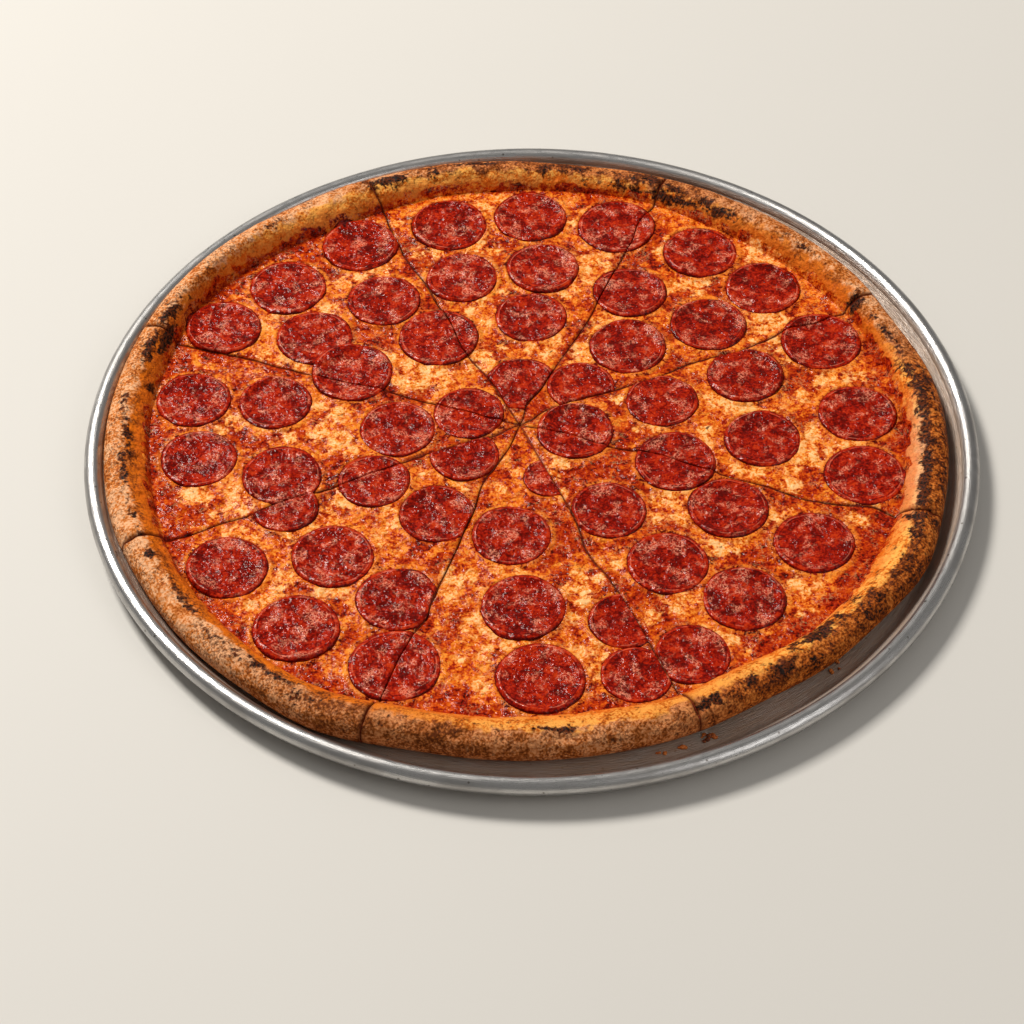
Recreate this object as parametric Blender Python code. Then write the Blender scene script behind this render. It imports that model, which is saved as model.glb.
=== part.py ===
"""Pepperoni pizza, cut into eight slices, lying in its round aluminium pan.

Units are metres with +Z up. The origin is under the pan's centre, on the surface that it stands on.
Slices are counted anticlockwise from the one at the upper right, as seen from above.
"""

import math

import bmesh
import bpy

MM = 0.001

# Pan
PAN_RADIUS = 228.5 * MM
PAN_SIDES = 64
SHEET = 1.2 * MM
BEAD_RADIUS = 4.5 * MM
BEAD_HEIGHT = 10.5 * MM
BEAD_START = math.radians(190)
BEAD_SWEEP = math.radians(285)
BEAD_STEPS = 9
WALL_SLOPE = math.radians(50)
FLOOR_BEND = 6.0 * MM
FLOOR_BEND_STEPS = 3

# Pizza outline, seen from above
PIZZA_CENTRE = (-3.75 * MM, 5.0 * MM)
PIZZA_RADIUS = 214.0 * MM
OUTLINE_WAVES = ((2, 2.0 * MM, 1.57), (3, 0.9 * MM, 2.1), (5, 0.8 * MM, 0.7), (9, 0.5 * MM, 4.0))
OUTLINE_BULGES = (
    (22, 9, -3.5 * MM), (88, 20, -2.5 * MM), (198, 8, 1.5 * MM), (243, 9, 5.0 * MM),
    (272, 14, 1.0 * MM), (303, 9, -4.0 * MM), (334, 8, 4.0 * MM),
)

# Cuts, as bearings from the point where they meet
CUT_CENTRE = (-6.0 * MM, 12.4 * MM)
CUT_BEARINGS = (25.7, 66.3, 115.2, 161.7, 204.9, 250.3, 292.6, 340.8)
CUT_GAP = 1.0 * MM

# Section of a slice
CLEARANCE = 0.3 * MM
UNDERSIDE = SHEET + CLEARANCE
CHEESE_TOP = 8.0 * MM
CRUST_TOP = 20.5 * MM
CRUST_TOP_WAVES = ((3, 0.8 * MM, 1.0), (7, 0.6 * MM, 2.4), (16, 0.4 * MM, 0.3))
CRUST_TOP_BULGES = ((22, 9, -2.0 * MM), (88, 20, -2.0 * MM))
CRUST_WIDTH = 21.0 * MM
CRUST_WIDTH_WAVES = ((4, 1.2 * MM, 0.9), (11, 0.8 * MM, 3.3))
CRUST_WIDTH_BULGES = (
    (22, 9, -6.0 * MM), (88, 20, -4.5 * MM), (150, 12, -4.5 * MM), (198, 8, 1.5 * MM),
    (243, 9, 3.0 * MM), (272, 14, 3.5 * MM), (303, 9, 3.0 * MM), (334, 8, 7.0 * MM),
)
CRUST_ROUNDNESS = 0.8
CRUST_CREST = 9.0 * MM
CRUST_FOOT = 9.0 * MM
CRUST_WIDEST = 11.0 * MM
SLICE_COLUMNS = 12
CREST_ROWS = 5
SIDE_ROWS = 3
FOOT_ROWS = 3

# Pepperoni
PEPPERONI_THICKNESS = 2.0 * MM
PEPPERONI_DISH = 0.6 * MM
PEPPERONI_RIM = 0.82
PEPPERONI_SEAT_GAP = 0.4 * MM
PEPPERONI_SPACING = 0.6 * MM
PEPPERONI_SIDES = 20
FUSED_AREA = 672 * MM * MM
FUSED_SINK = 0.8 * MM
FUSED_INSET = 0.2 * MM

# Each pepperoni: the slices that it lies on, then its centre's x and y and its diameter in mm
PEPPERONI = (
    ((1,), 93.0, 144.7, 41.0), ((1,), 125.8, 115.8, 41.0), ((1,), 95.0, 87.5, 41.0),
    ((1, 2), 53.5, 112.5, 40.0), ((1,), 51.3, 70.0, 41.0), ((1,), 26.0, 40.0, 36.0),
    ((2, 1), 47.5, 166.0, 43.0), ((2,), 0.0, 174.5, 41.0), ((2,), -45.0, 167.0, 42.0),
    ((2,), 6.7, 132.0, 40.0), ((2,), -37.5, 124.2, 39.0), ((2,), 0.0, 93.0, 38.5),
    ((2,), -5.0, 42.0, 38.0),
    ((3,), -93.5, 150.5, 42.0), ((3,), -131.5, 116.5, 42.0), ((3,), -164.0, 84.5, 41.0),
    ((3,), -79.2, 105.8, 39.5), ((3,), -115.3, 76.7, 41.0), ((3, 2), -49.2, 76.7, 43.0),
    ((3, 4), -94.0, 50.0, 43.0), ((3, 4), -32.5, 20.0, 37.0),
    ((4,), -176.0, 29.7, 39.5), ((4,), -133.3, 27.5, 38.5), ((4,), -170.0, -13.0, 39.5),
    ((4,), -69.0, 8.5, 39.5), ((4,), -127.0, -25.0, 41.0),
    ((5, 4), -80.0, -28.5, 37.0), ((5,), -34.5, -10.5, 36.0), ((5,), -47.7, -51.7, 39.0),
    ((5,), -124.0, -47.0, 34.0), ((5,), -150.5, -87.5, 41.0), ((5,), -98.7, -80.0, 41.5),
    ((5,), -66.0, -108.0, 41.0), ((5,), -114.5, -127.0, 43.0), ((5, 6), -66.3, -150.3, 45.0),
    ((6,), -10.5, -66.0, 40.0), ((6,), 9.0, -26.0, 27.0), ((6,), -4.7, -113.7, 42.0),
    ((6,), 3.5, -158.5, 44.0), ((6,), 44.2, -122.5, 35.0), ((6,), 49.2, -155.8, 35.0),
    ((7,), 38.5, -49.0, 38.5), ((7,), 66.7, -84.5, 41.0), ((7,), 98.5, -47.3, 41.0),
    ((7,), 140.0, -71.0, 41.0), ((7,), 103.3, -107.8, 41.5), ((7,), 76.5, -143.5, 37.0),
    ((8, 7), 22.5, 7.3, 40.0), ((8, 7), 73.3, -15.0, 42.0), ((8,), 68.0, 29.2, 38.0),
    ((8,), 112.5, 48.3, 41.0), ((8, 1), 154.0, 74.0, 43.0), ((8,), 169.0, 20.0, 41.0),
    ((8,), 118.5, 1.5, 40.0), ((8,), 169.0, -24.0, 41.5),
)

BEAD_MIDDLE = BEAD_RADIUS - SHEET / 2
BEAD_CENTRE = PAN_RADIUS - BEAD_RADIUS


def new_material(name, colour, roughness, metallic=0.0):
    """A plain Principled material."""
    material = bpy.data.materials.new(name)
    material.use_nodes = True
    shader = material.node_tree.nodes["Principled BSDF"]
    shader.inputs["Base Color"].default_value = (*colour, 1.0)
    shader.inputs["Roughness"].default_value = roughness
    shader.inputs["Metallic"].default_value = metallic
    material.diffuse_color = (*colour, 1.0)
    return material


def new_object(name, vertices, faces, material, location=(0.0, 0.0, 0.0), parent=None):
    """An object whose vertices are given in world places and kept relative to its location."""
    local = [tuple(v - o for v, o in zip(vertex, location)) for vertex in vertices]
    mesh = bpy.data.meshes.new(name)
    mesh.from_pydata(local, [], faces)
    bm = bmesh.new()
    bm.from_mesh(mesh)
    bmesh.ops.recalc_face_normals(bm, faces=bm.faces)
    bm.to_mesh(mesh)
    bm.free()
    mesh.materials.append(material)
    mesh.shade_smooth()
    mesh.set_sharp_from_angle(angle=math.radians(35))
    obj = bpy.data.objects.new(name, mesh)
    obj.location = location
    obj.parent = parent
    bpy.context.scene.collection.objects.link(obj)
    return obj


def waves(bearing, terms):
    """Sum of (count, height, phase) waves round the pizza."""
    return sum(height * math.sin(count * bearing + phase) for count, height, phase in terms)


def bulges(bearing, terms):
    """Sum of smooth local (middle in degrees, spread in degrees, height) changes at a bearing."""
    total = 0.0
    for middle, spread, height in terms:
        away = math.remainder(bearing - math.radians(middle), math.tau) / math.radians(spread)
        total += height * math.exp(-away ** 2)
    return total


def direction(bearing):
    return math.cos(bearing), math.sin(bearing)


def along(start, heading, distance):
    return start[0] + heading[0] * distance, start[1] + heading[1] * distance


def wall_foot_radius():
    """Radius at which the middle of the sloping wall would meet the middle of the floor sheet."""
    bead_x = BEAD_CENTRE + BEAD_MIDDLE * math.cos(BEAD_START)
    bead_z = BEAD_HEIGHT + BEAD_MIDDLE * math.sin(BEAD_START)
    return bead_x - (bead_z - SHEET / 2) / math.tan(WALL_SLOPE)


def floor_radius():
    return wall_foot_radius() - FLOOR_BEND * math.tan(WALL_SLOPE / 2)


def pan_middle_line():
    """Radius and height along the middle of the sheet, from the floor's rim to the curl's end."""
    points = []
    for step in range(FLOOR_BEND_STEPS + 1):
        turn = WALL_SLOPE * step / FLOOR_BEND_STEPS
        points.append((floor_radius() + FLOOR_BEND * math.sin(turn),
                       SHEET / 2 + FLOOR_BEND * (1 - math.cos(turn))))
    for step in range(BEAD_STEPS + 1):
        turn = BEAD_START - BEAD_SWEEP * step / BEAD_STEPS
        points.append((BEAD_CENTRE + BEAD_MIDDLE * math.cos(turn),
                       BEAD_HEIGHT + BEAD_MIDDLE * math.sin(turn)))
    return points


def offset_line(points, distance):
    """The line moved to its left, with mitred corners; its first point moves straight up."""
    moved = []
    for index, (x, z) in enumerate(points):
        before = points[index - 1] if index else (x - 1.0, z)
        after = points[index + 1] if index + 1 < len(points) else (2 * x - before[0], 2 * z - before[1])
        angle_in = math.atan2(z - before[1], x - before[0])
        angle_out = math.atan2(after[1] - z, after[0] - x)
        half_turn = math.remainder(angle_out - angle_in, math.tau) / 2
        normal = angle_in + half_turn + math.pi / 2
        reach = distance / math.cos(half_turn)
        moved.append((x + reach * math.cos(normal), z + reach * math.sin(normal)))
    return moved


def build_pan(material):
    """The pan as one turned sheet: floor, sloping wall and rolled rim."""
    middle = pan_middle_line()
    inside = offset_line(middle, SHEET / 2)
    outside = offset_line(middle, -SHEET / 2)
    profile = inside + outside[::-1]
    vertices = []
    for side in range(PAN_SIDES):
        heading = direction(math.tau * side / PAN_SIDES)
        vertices += [(radius * heading[0], radius * heading[1], z) for radius, z in profile]
    count = len(profile)
    faces = []
    for side in range(PAN_SIDES):
        here = side * count
        there = (side + 1) % PAN_SIDES * count
        for row in range(count - 1):
            faces.append((here + row, here + row + 1, there + row + 1, there + row))
    faces.append([side * count for side in range(PAN_SIDES)])
    faces.append([side * count + count - 1 for side in range(PAN_SIDES)])
    return new_object("pan", vertices, faces, material)


def pan_limit(z):
    """Greatest radius that food may reach inside the pan at a height, with the gap kept."""
    skin = SHEET / 2 + CLEARANCE
    wall = wall_foot_radius() + (z - SHEET / 2) / math.tan(WALL_SLOPE) - skin / math.sin(WALL_SLOPE)
    bend = FLOOR_BEND - skin
    bend_drop = SHEET / 2 + FLOOR_BEND - z
    limit = wall
    if bend_drop > bend * math.cos(WALL_SLOPE):
        limit = min(limit, floor_radius() + math.sqrt(max(0.0, bend ** 2 - bend_drop ** 2)))
    bead = BEAD_RADIUS + CLEARANCE
    if abs(z - BEAD_HEIGHT) < bead:
        limit = min(limit, BEAD_CENTRE - math.sqrt(bead ** 2 - (z - BEAD_HEIGHT) ** 2))
    return limit if z < BEAD_HEIGHT + bead else PAN_RADIUS


def outline_radius(bearing):
    return PIZZA_RADIUS + waves(bearing, OUTLINE_WAVES) + bulges(bearing, OUTLINE_BULGES)


def polar(point):
    """Distance and bearing of a point from the pizza's centre."""
    dx = point[0] - PIZZA_CENTRE[0]
    dy = point[1] - PIZZA_CENTRE[1]
    return math.hypot(dx, dy), math.atan2(dy, dx)


def reach_outline(start, heading):
    """Distance from a point inside the pizza to its outline along a heading."""
    near, far = 0.0, 2 * PIZZA_RADIUS
    for _ in range(40):
        middle = (near + far) / 2
        distance, bearing = polar(along(start, heading, middle))
        if distance < outline_radius(bearing):
            near = middle
        else:
            far = middle
    return near


def reach_circle(start, heading, radius):
    """Distance from a point to a circle round the pan's centre along a heading."""
    half = start[0] * heading[0] + start[1] * heading[1]
    rest = start[0] ** 2 + start[1] ** 2 - radius ** 2
    return math.sqrt(half ** 2 - rest) - half


def crust_width(bearing):
    return CRUST_WIDTH + waves(bearing, CRUST_WIDTH_WAVES) + bulges(bearing, CRUST_WIDTH_BULGES)


def top_height(point):
    """Height of the slice's upper surface: flat cheese, then the crust's rising and rounded rim."""
    distance, bearing = polar(point)
    inward = max(0.0, outline_radius(bearing) - distance)
    top = CRUST_TOP + waves(bearing, CRUST_TOP_WAVES) + bulges(bearing, CRUST_TOP_BULGES)
    if inward < CRUST_CREST:
        drop = (CRUST_CREST - inward) / CRUST_CREST
        return CRUST_WIDEST + (top - CRUST_WIDEST) * math.sqrt(max(0.0, 1 - drop ** 2))
    fall = min(1.0, (inward - CRUST_CREST) / (crust_width(bearing) - CRUST_CREST))
    return CHEESE_TOP + (top - CHEESE_TOP) * (1 - fall ** 2) ** CRUST_ROUNDNESS


def slice_edges(number):
    """Bearings of the two cuts that bound a slice, the second above the first."""
    first = CUT_BEARINGS[number - 1]
    second = CUT_BEARINGS[number % len(CUT_BEARINGS)]
    if second < first:
        second += 360
    return math.radians(first), math.radians(second)


def slice_tip(number):
    """The slice's tip, set back from the meeting point so that both cuts keep half their gap."""
    first, second = slice_edges(number)
    back = CUT_GAP / 2 / math.sin((second - first) / 2)
    return along(CUT_CENTRE, direction((first + second) / 2), back)


def column_points(tip, heading, foot):
    """Points of one column: over the crust from the cheese's edge to the underside."""
    reach = reach_outline(tip, heading)
    section = []
    for row in range(CREST_ROWS):
        inward = foot + (CRUST_CREST - foot) * row / CREST_ROWS
        section.append((reach - inward, None))
    for row in range(SIDE_ROWS + 1):
        turn = math.pi / 2 * (1 - row / SIDE_ROWS)
        section.append((reach - CRUST_CREST * (1 - math.cos(turn)), None))
    for row in range(1, FOOT_ROWS + 1):
        turn = math.pi / 2 * row / FOOT_ROWS
        inward = CRUST_FOOT * (1 - math.cos(turn))
        section.append((reach - inward, CRUST_WIDEST + (UNDERSIDE - CRUST_WIDEST) * math.sin(turn)))
    points = []
    for distance, z in section:
        x, y = along(tip, heading, distance)
        if z is None:
            z = top_height((x, y))
        distance = min(distance, reach_circle(tip, heading, pan_limit(z)))
        points.append((*along(tip, heading, distance), z))
    return points


def build_slice(number, material, parent):
    """A slice as one closed body: dough, sauce and cheese, with its piece of crust."""
    first, second = slice_edges(number)
    tip = slice_tip(number)
    vertices = [(*tip, CHEESE_TOP), (*tip, UNDERSIDE)]
    rows = 0
    for column in range(SLICE_COLUMNS + 1):
        heading = direction(first + (second - first) * column / SLICE_COLUMNS)
        outer = reach_outline(tip, heading)
        bearing = polar(along(tip, heading, outer))[1]
        points = column_points(tip, heading, crust_width(bearing))
        points[0] = (*points[0][:2], CHEESE_TOP)
        rows = len(points)
        vertices += points
    faces = []
    for column in range(SLICE_COLUMNS):
        here = 2 + column * rows
        there = here + rows
        for row in range(rows - 1):
            faces.append((here + row, here + row + 1, there + row + 1, there + row))
    last = 2 + SLICE_COLUMNS * rows
    faces.append([0] + [2 + column * rows for column in range(SLICE_COLUMNS + 1)])
    faces.append([1] + [1 + (column + 1) * rows for column in range(SLICE_COLUMNS + 1)])
    faces.append([0, *range(2, 2 + rows), 1])
    faces.append([0, *range(last, last + rows), 1])
    return new_object(f"slice_{number}", vertices, faces, material, (*tip, UNDERSIDE), parent)


def clip(polygon, point, inward):
    """The part of a convex polygon on the side of a line that its inward direction names."""
    def depth(corner):
        return (corner[0] - point[0]) * inward[0] + (corner[1] - point[1]) * inward[1]

    kept = []
    for index, corner in enumerate(polygon):
        following = polygon[(index + 1) % len(polygon)]
        here, there = depth(corner), depth(following)
        if here >= 0:
            kept.append(corner)
        if here * there < 0:
            share = here / (here - there)
            kept.append(tuple(a + (b - a) * share for a, b in zip(corner, following)))
    return kept


def area_and_centre(polygon):
    """Area and centroid of a polygon."""
    area = sum_x = sum_y = 0.0
    for (ax, ay), (bx, by) in zip(polygon, polygon[1:] + polygon[:1]):
        cross = ax * by - bx * ay
        area += cross / 2
        sum_x += (ax + bx) * cross / 6
        sum_y += (ay + by) * cross / 6
    return area, (sum_x / area, sum_y / area)


def drop_short_sides(polygon, shortest):
    """The polygon without corners that lie closer than a length to the one before."""
    kept = []
    for index, corner in enumerate(polygon):
        if math.dist(corner, polygon[index - 1]) > shortest:
            kept.append(corner)
    return kept


def pepperoni_outline(disc, number, inset):
    """Outline of a pepperoni's piece on one slice, cut where the slice and its neighbours end."""
    _, x, y, diameter = disc
    centre = (x * MM, y * MM)
    radius = diameter / 2 * MM
    outline = [along(centre, direction(math.tau * side / PEPPERONI_SIDES), radius)
               for side in range(PEPPERONI_SIDES)]
    first, second = slice_edges(number)
    tip = slice_tip(number)
    for bearing, side in ((first, 1), (second, -1)):
        inward = direction(bearing + side * math.pi / 2)
        outline = clip(outline, along(tip, inward, inset), inward)
    for other in PEPPERONI:
        other_centre = (other[1] * MM, other[2] * MM)
        other_radius = other[3] / 2 * MM
        apart = math.dist(centre, other_centre)
        if other is disc or number not in other[0] or apart > radius + other_radius + PEPPERONI_SPACING:
            continue
        toward = ((other_centre[0] - centre[0]) / apart, (other_centre[1] - centre[1]) / apart)
        share = (apart ** 2 + radius ** 2 - other_radius ** 2) / (2 * apart)
        edge = along(centre, toward, share - PEPPERONI_SPACING / 2)
        outline = clip(outline, edge, (-toward[0], -toward[1]))
    return drop_short_sides(outline, PEPPERONI_SPACING)


def build_pepperoni(name, outline, material, parent):
    """A slightly dished pepperoni slice that follows the surface below it."""
    centre = area_and_centre(outline)[1]
    inner = [tuple(c + (p - c) * PEPPERONI_RIM for c, p in zip(centre, corner)) for corner in outline]

    def raised(point, lift):
        return (*point, top_height(point) + PEPPERONI_SEAT_GAP + lift)

    floor = PEPPERONI_THICKNESS - PEPPERONI_DISH
    count = len(outline)
    vertices = [raised(point, 0.0) for point in outline]
    vertices += [raised(point, PEPPERONI_THICKNESS) for point in outline]
    vertices += [raised(point, floor) for point in inner]
    vertices += [raised(centre, 0.0), raised(centre, floor)]
    faces = []
    for index in range(count):
        after = (index + 1) % count
        faces.append((index, after, count + after, count + index))
        faces.append((count + index, count + after, 2 * count + after, 2 * count + index))
        faces.append((after, index, 3 * count))
        faces.append((2 * count + index, 2 * count + after, 3 * count + 1))
    return new_object(name, vertices, faces, material, raised(centre, 0.0), parent)


def fuse_pieces(slice_object, outlines, material):
    """Unite the smallest cut pieces of pepperoni with the slice that they lie on."""
    collection = bpy.data.collections.new("fused")
    for index, outline in enumerate(outlines):
        low = CHEESE_TOP - FUSED_SINK
        high = CHEESE_TOP + PEPPERONI_SEAT_GAP + PEPPERONI_THICKNESS
        count = len(outline)
        vertices = [(*point, low) for point in outline] + [(*point, high) for point in outline]
        faces = [(i, (i + 1) % count, count + (i + 1) % count, count + i) for i in range(count)]
        faces += [list(range(count)), list(range(count, 2 * count))]
        piece = new_object(f"fused_{index}", vertices, faces, material)
        bpy.context.scene.collection.objects.unlink(piece)
        collection.objects.link(piece)
    union = slice_object.modifiers.new("fuse", "BOOLEAN")
    union.operation = "UNION"
    union.operand_type = "COLLECTION"
    union.collection = collection
    union.solver = "EXACT"
    evaluated = slice_object.evaluated_get(bpy.context.evaluated_depsgraph_get())
    united = bpy.data.meshes.new_from_object(evaluated)
    slice_object.modifiers.clear()
    slice_object.data = united
    for piece in list(collection.objects):
        bpy.data.objects.remove(piece, do_unlink=True)
    bpy.data.collections.remove(collection)


def build_toppings(slices, material, parent):
    """Every pepperoni piece: the larger ones as objects, the smallest fused to their slices."""
    fused = {number: [] for number in slices}
    for index, disc in enumerate(PEPPERONI, start=1):
        numbers = disc[0]
        for part, number in enumerate(numbers):
            outline = pepperoni_outline(disc, number, 0.0)
            if area_and_centre(outline)[0] < FUSED_AREA:
                fused[number].append(pepperoni_outline(disc, number, FUSED_INSET))
                continue
            suffix = "ab"[part] if len(numbers) > 1 else ""
            build_pepperoni(f"pepperoni_{index:02d}{suffix}", outline, material, parent)
    for number, outlines in fused.items():
        if outlines:
            fuse_pieces(slices[number], outlines, material)


def build():
    for obj in list(bpy.data.objects):
        bpy.data.objects.remove(obj, do_unlink=True)
    aluminium = new_material("aluminium", (0.58, 0.57, 0.56), 0.34, 1.0)
    dough = new_material("baked_dough_and_cheese", (0.80, 0.36, 0.10), 0.45)
    pepperoni = new_material("pepperoni", (0.36, 0.04, 0.02), 0.32)
    build_pan(aluminium)
    pizza = bpy.data.objects.new("pizza", None)
    bpy.context.scene.collection.objects.link(pizza)
    slices = {number: build_slice(number, dough, pizza) for number in range(1, len(CUT_BEARINGS) + 1)}
    bpy.context.view_layer.update()
    build_toppings(slices, pepperoni, pizza)


build()
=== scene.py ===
"""Looks of the sliced pepperoni pizza in its round aluminium pan.

The solids come from model.glb. This script builds the fine pan, the eight slices with their cheese,
sauce and browned crust, every piece of pepperoni, the crumbs, and the stage with its camera.
"""

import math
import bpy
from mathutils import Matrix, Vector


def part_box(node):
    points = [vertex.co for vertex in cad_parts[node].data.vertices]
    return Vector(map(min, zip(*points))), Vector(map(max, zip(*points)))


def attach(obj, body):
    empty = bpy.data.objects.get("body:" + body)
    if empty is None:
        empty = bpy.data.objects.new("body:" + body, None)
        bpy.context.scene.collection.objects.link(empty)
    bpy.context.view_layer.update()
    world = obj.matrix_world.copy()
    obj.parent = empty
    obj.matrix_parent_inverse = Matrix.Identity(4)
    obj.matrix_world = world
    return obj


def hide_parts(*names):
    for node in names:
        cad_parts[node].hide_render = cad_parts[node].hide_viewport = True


bl_info = {
    "name": "Pepperoni Pizza in a Pan",
    "version": (1, 0, 0),
    "blender": (4, 5, 0),
    "location": "View3D > Sidebar > Pizza",
    "description": "Builds a sliced pepperoni pizza in its round pan, piece by piece",
    "category": "Add Mesh",
}

import bmesh
import bpy
import numpy as np
from bpy.props import FloatProperty, FloatVectorProperty, IntProperty, PointerProperty
from mathutils import Vector

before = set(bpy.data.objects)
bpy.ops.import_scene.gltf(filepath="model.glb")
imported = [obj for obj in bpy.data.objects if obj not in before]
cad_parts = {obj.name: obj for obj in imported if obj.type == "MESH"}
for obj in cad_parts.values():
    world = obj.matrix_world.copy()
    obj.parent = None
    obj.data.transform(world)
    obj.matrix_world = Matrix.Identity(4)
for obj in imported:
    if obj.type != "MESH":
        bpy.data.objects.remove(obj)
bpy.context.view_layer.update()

MM = 0.001

# Pan, as in the solids
PAN_RADIUS = float(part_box("pan")[1][0])
SHEET = 1.2 * MM
BEAD_RADIUS = 4.5 * MM
BEAD_HEIGHT = 10.5 * MM
BEAD_START = math.radians(190)
BEAD_SWEEP = math.radians(285)
WALL_SLOPE = math.radians(50)
FLOOR_BEND = 6.0 * MM
BEAD_CENTRE = PAN_RADIUS - BEAD_RADIUS
BEAD_MIDDLE = BEAD_RADIUS - SHEET / 2

# Pizza outline and cuts, as in the solids
PIZZA_CENTRE = (-3.75 * MM, 5.0 * MM)
PIZZA_RADIUS = 214.0 * MM
OUTLINE_WAVES = ((2, 2.0 * MM, 1.57), (3, 0.9 * MM, 2.1), (5, 0.8 * MM, 0.7), (9, 0.5 * MM, 4.0))
OUTLINE_BULGES = (
    (22, 9, -3.5 * MM), (88, 20, -2.5 * MM), (198, 8, 1.5 * MM), (243, 9, 5.0 * MM),
    (272, 14, 1.0 * MM), (303, 9, -4.0 * MM), (334, 8, 4.0 * MM),
)
CUT_CENTRE = (-6.0 * MM, 12.4 * MM)
CUT_BEARINGS = (25.7, 66.3, 115.2, 161.7, 204.9, 250.3, 292.6, 340.8)
CUT_GAP = 0.4 * MM
CLEARANCE = 0.3 * MM
UNDERSIDE = SHEET + CLEARANCE
CHEESE_TOP = 8.0 * MM
CRUST_TOP = 20.5 * MM
CRUST_TOP_WAVES = ((3, 0.8 * MM, 1.0), (7, 0.6 * MM, 2.4), (16, 0.4 * MM, 0.3))
CRUST_TOP_BULGES = ((22, 9, -2.0 * MM), (88, 20, -2.0 * MM))
CRUST_WIDTH = 21.0 * MM
CRUST_WIDTH_WAVES = ((4, 1.2 * MM, 0.9), (11, 0.8 * MM, 3.3))
CRUST_WIDTH_BULGES = (
    (22, 9, -6.0 * MM), (88, 20, -4.5 * MM), (150, 12, -4.5 * MM), (198, 8, 1.5 * MM),
    (243, 9, 3.0 * MM), (272, 14, 3.5 * MM), (303, 9, 3.0 * MM), (334, 8, 7.0 * MM),
)
CRUST_ROUNDNESS = 0.8
CRUST_CREST = 9.0 * MM
CRUST_FOOT = 9.0 * MM
CRUST_WIDEST = 11.0 * MM

# Each pepperoni: the slices that it lies on, then its centre's x and y and its diameter in mm
PEPPERONI = (
    ((1,), 93.0, 144.7, 41.0), ((1,), 125.8, 115.8, 41.0), ((1,), 95.0, 87.5, 41.0),
    ((1, 2), 53.5, 112.5, 40.0), ((1,), 51.3, 70.0, 41.0), ((1,), 26.0, 40.0, 36.0),
    ((2, 1), 47.5, 166.0, 43.0), ((2,), 0.0, 174.5, 41.0), ((2,), -45.0, 167.0, 42.0),
    ((2,), 6.7, 132.0, 40.0), ((2,), -37.5, 124.2, 39.0), ((2,), 0.0, 93.0, 38.5),
    ((2,), -5.0, 42.0, 38.0),
    ((3,), -93.5, 150.5, 42.0), ((3,), -131.5, 116.5, 42.0), ((3,), -164.0, 84.5, 41.0),
    ((3,), -79.2, 105.8, 39.5), ((3,), -115.3, 76.7, 41.0), ((3, 2), -49.2, 76.7, 43.0),
    ((3, 4), -94.0, 50.0, 43.0), ((3, 4), -32.5, 20.0, 37.0),
    ((4,), -176.0, 29.7, 39.5), ((4,), -133.3, 27.5, 38.5), ((4,), -170.0, -13.0, 39.5),
    ((4,), -69.0, 8.5, 39.5), ((4,), -127.0, -25.0, 41.0),
    ((5, 4), -80.0, -28.5, 37.0), ((5,), -34.5, -10.5, 36.0), ((5,), -47.7, -51.7, 39.0),
    ((5,), -124.0, -47.0, 34.0), ((5,), -150.5, -87.5, 41.0), ((5,), -98.7, -80.0, 41.5),
    ((5,), -66.0, -108.0, 41.0), ((5,), -114.5, -127.0, 43.0), ((5, 6), -66.3, -150.3, 45.0),
    ((6,), -10.5, -66.0, 40.0), ((6,), 9.0, -26.0, 27.0), ((6,), -4.7, -113.7, 42.0),
    ((6,), 3.5, -158.5, 44.0), ((6,), 44.2, -122.5, 35.0), ((6,), 49.2, -155.8, 35.0),
    ((7,), 38.5, -49.0, 38.5), ((7,), 66.7, -84.5, 41.0), ((7,), 98.5, -47.3, 41.0),
    ((7,), 140.0, -71.0, 41.0), ((7,), 103.3, -107.8, 41.5), ((7,), 76.5, -143.5, 37.0),
    ((8, 7), 22.5, 7.3, 40.0), ((8, 7), 73.3, -15.0, 42.0), ((8,), 68.0, 29.2, 38.0),
    ((8,), 112.5, 48.3, 41.0), ((8, 1), 154.0, 74.0, 43.0), ((8,), 169.0, 20.0, 41.0),
    ((8,), 118.5, 1.5, 40.0), ((8,), 169.0, -24.0, 41.5),
)

# Two pepperoni that overlap by less only push each other flat
TOUCH = 3.0 * MM

# How each cut wanders off its straight line: distance from the centre, spread and offset in mm,
# with offsets to the anticlockwise side
CUT_BENDS = (
    ((30, 25, 3.2), (100, 12, 2.0), (128, 10, -1.5), (160, 10, 2.0)),
    ((12, 10, 2.5), (85, 25, -2.3), (170, 10, 2.5)),
    ((62, 18, 3.6), (100, 12, 1.2), (140, 14, 1.8), (182, 10, -2.5)),
    ((75, 12, -1.0), (150, 14, -1.0)),
    ((12, 12, 2.5), (102, 14, 1.3), (150, 10, 1.6), (180, 10, 1.4)),
    ((46, 16, -3.6), (78, 12, -1.0), (139, 6, 1.8), (172, 20, -1.5)),
    ((96, 16, -3.6), (148, 14, 0.7)),
    ((26, 12, 1.5), (74, 14, 2.3), (118, 10, -1.2), (152, 16, -3.2), (187, 9, 3.2)),
)

# How far a bend carries to either side of its cut, and how far from the centre the bends are full
BEND_REACH = 12.0 * MM
BEND_START = 18.0 * MM

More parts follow.
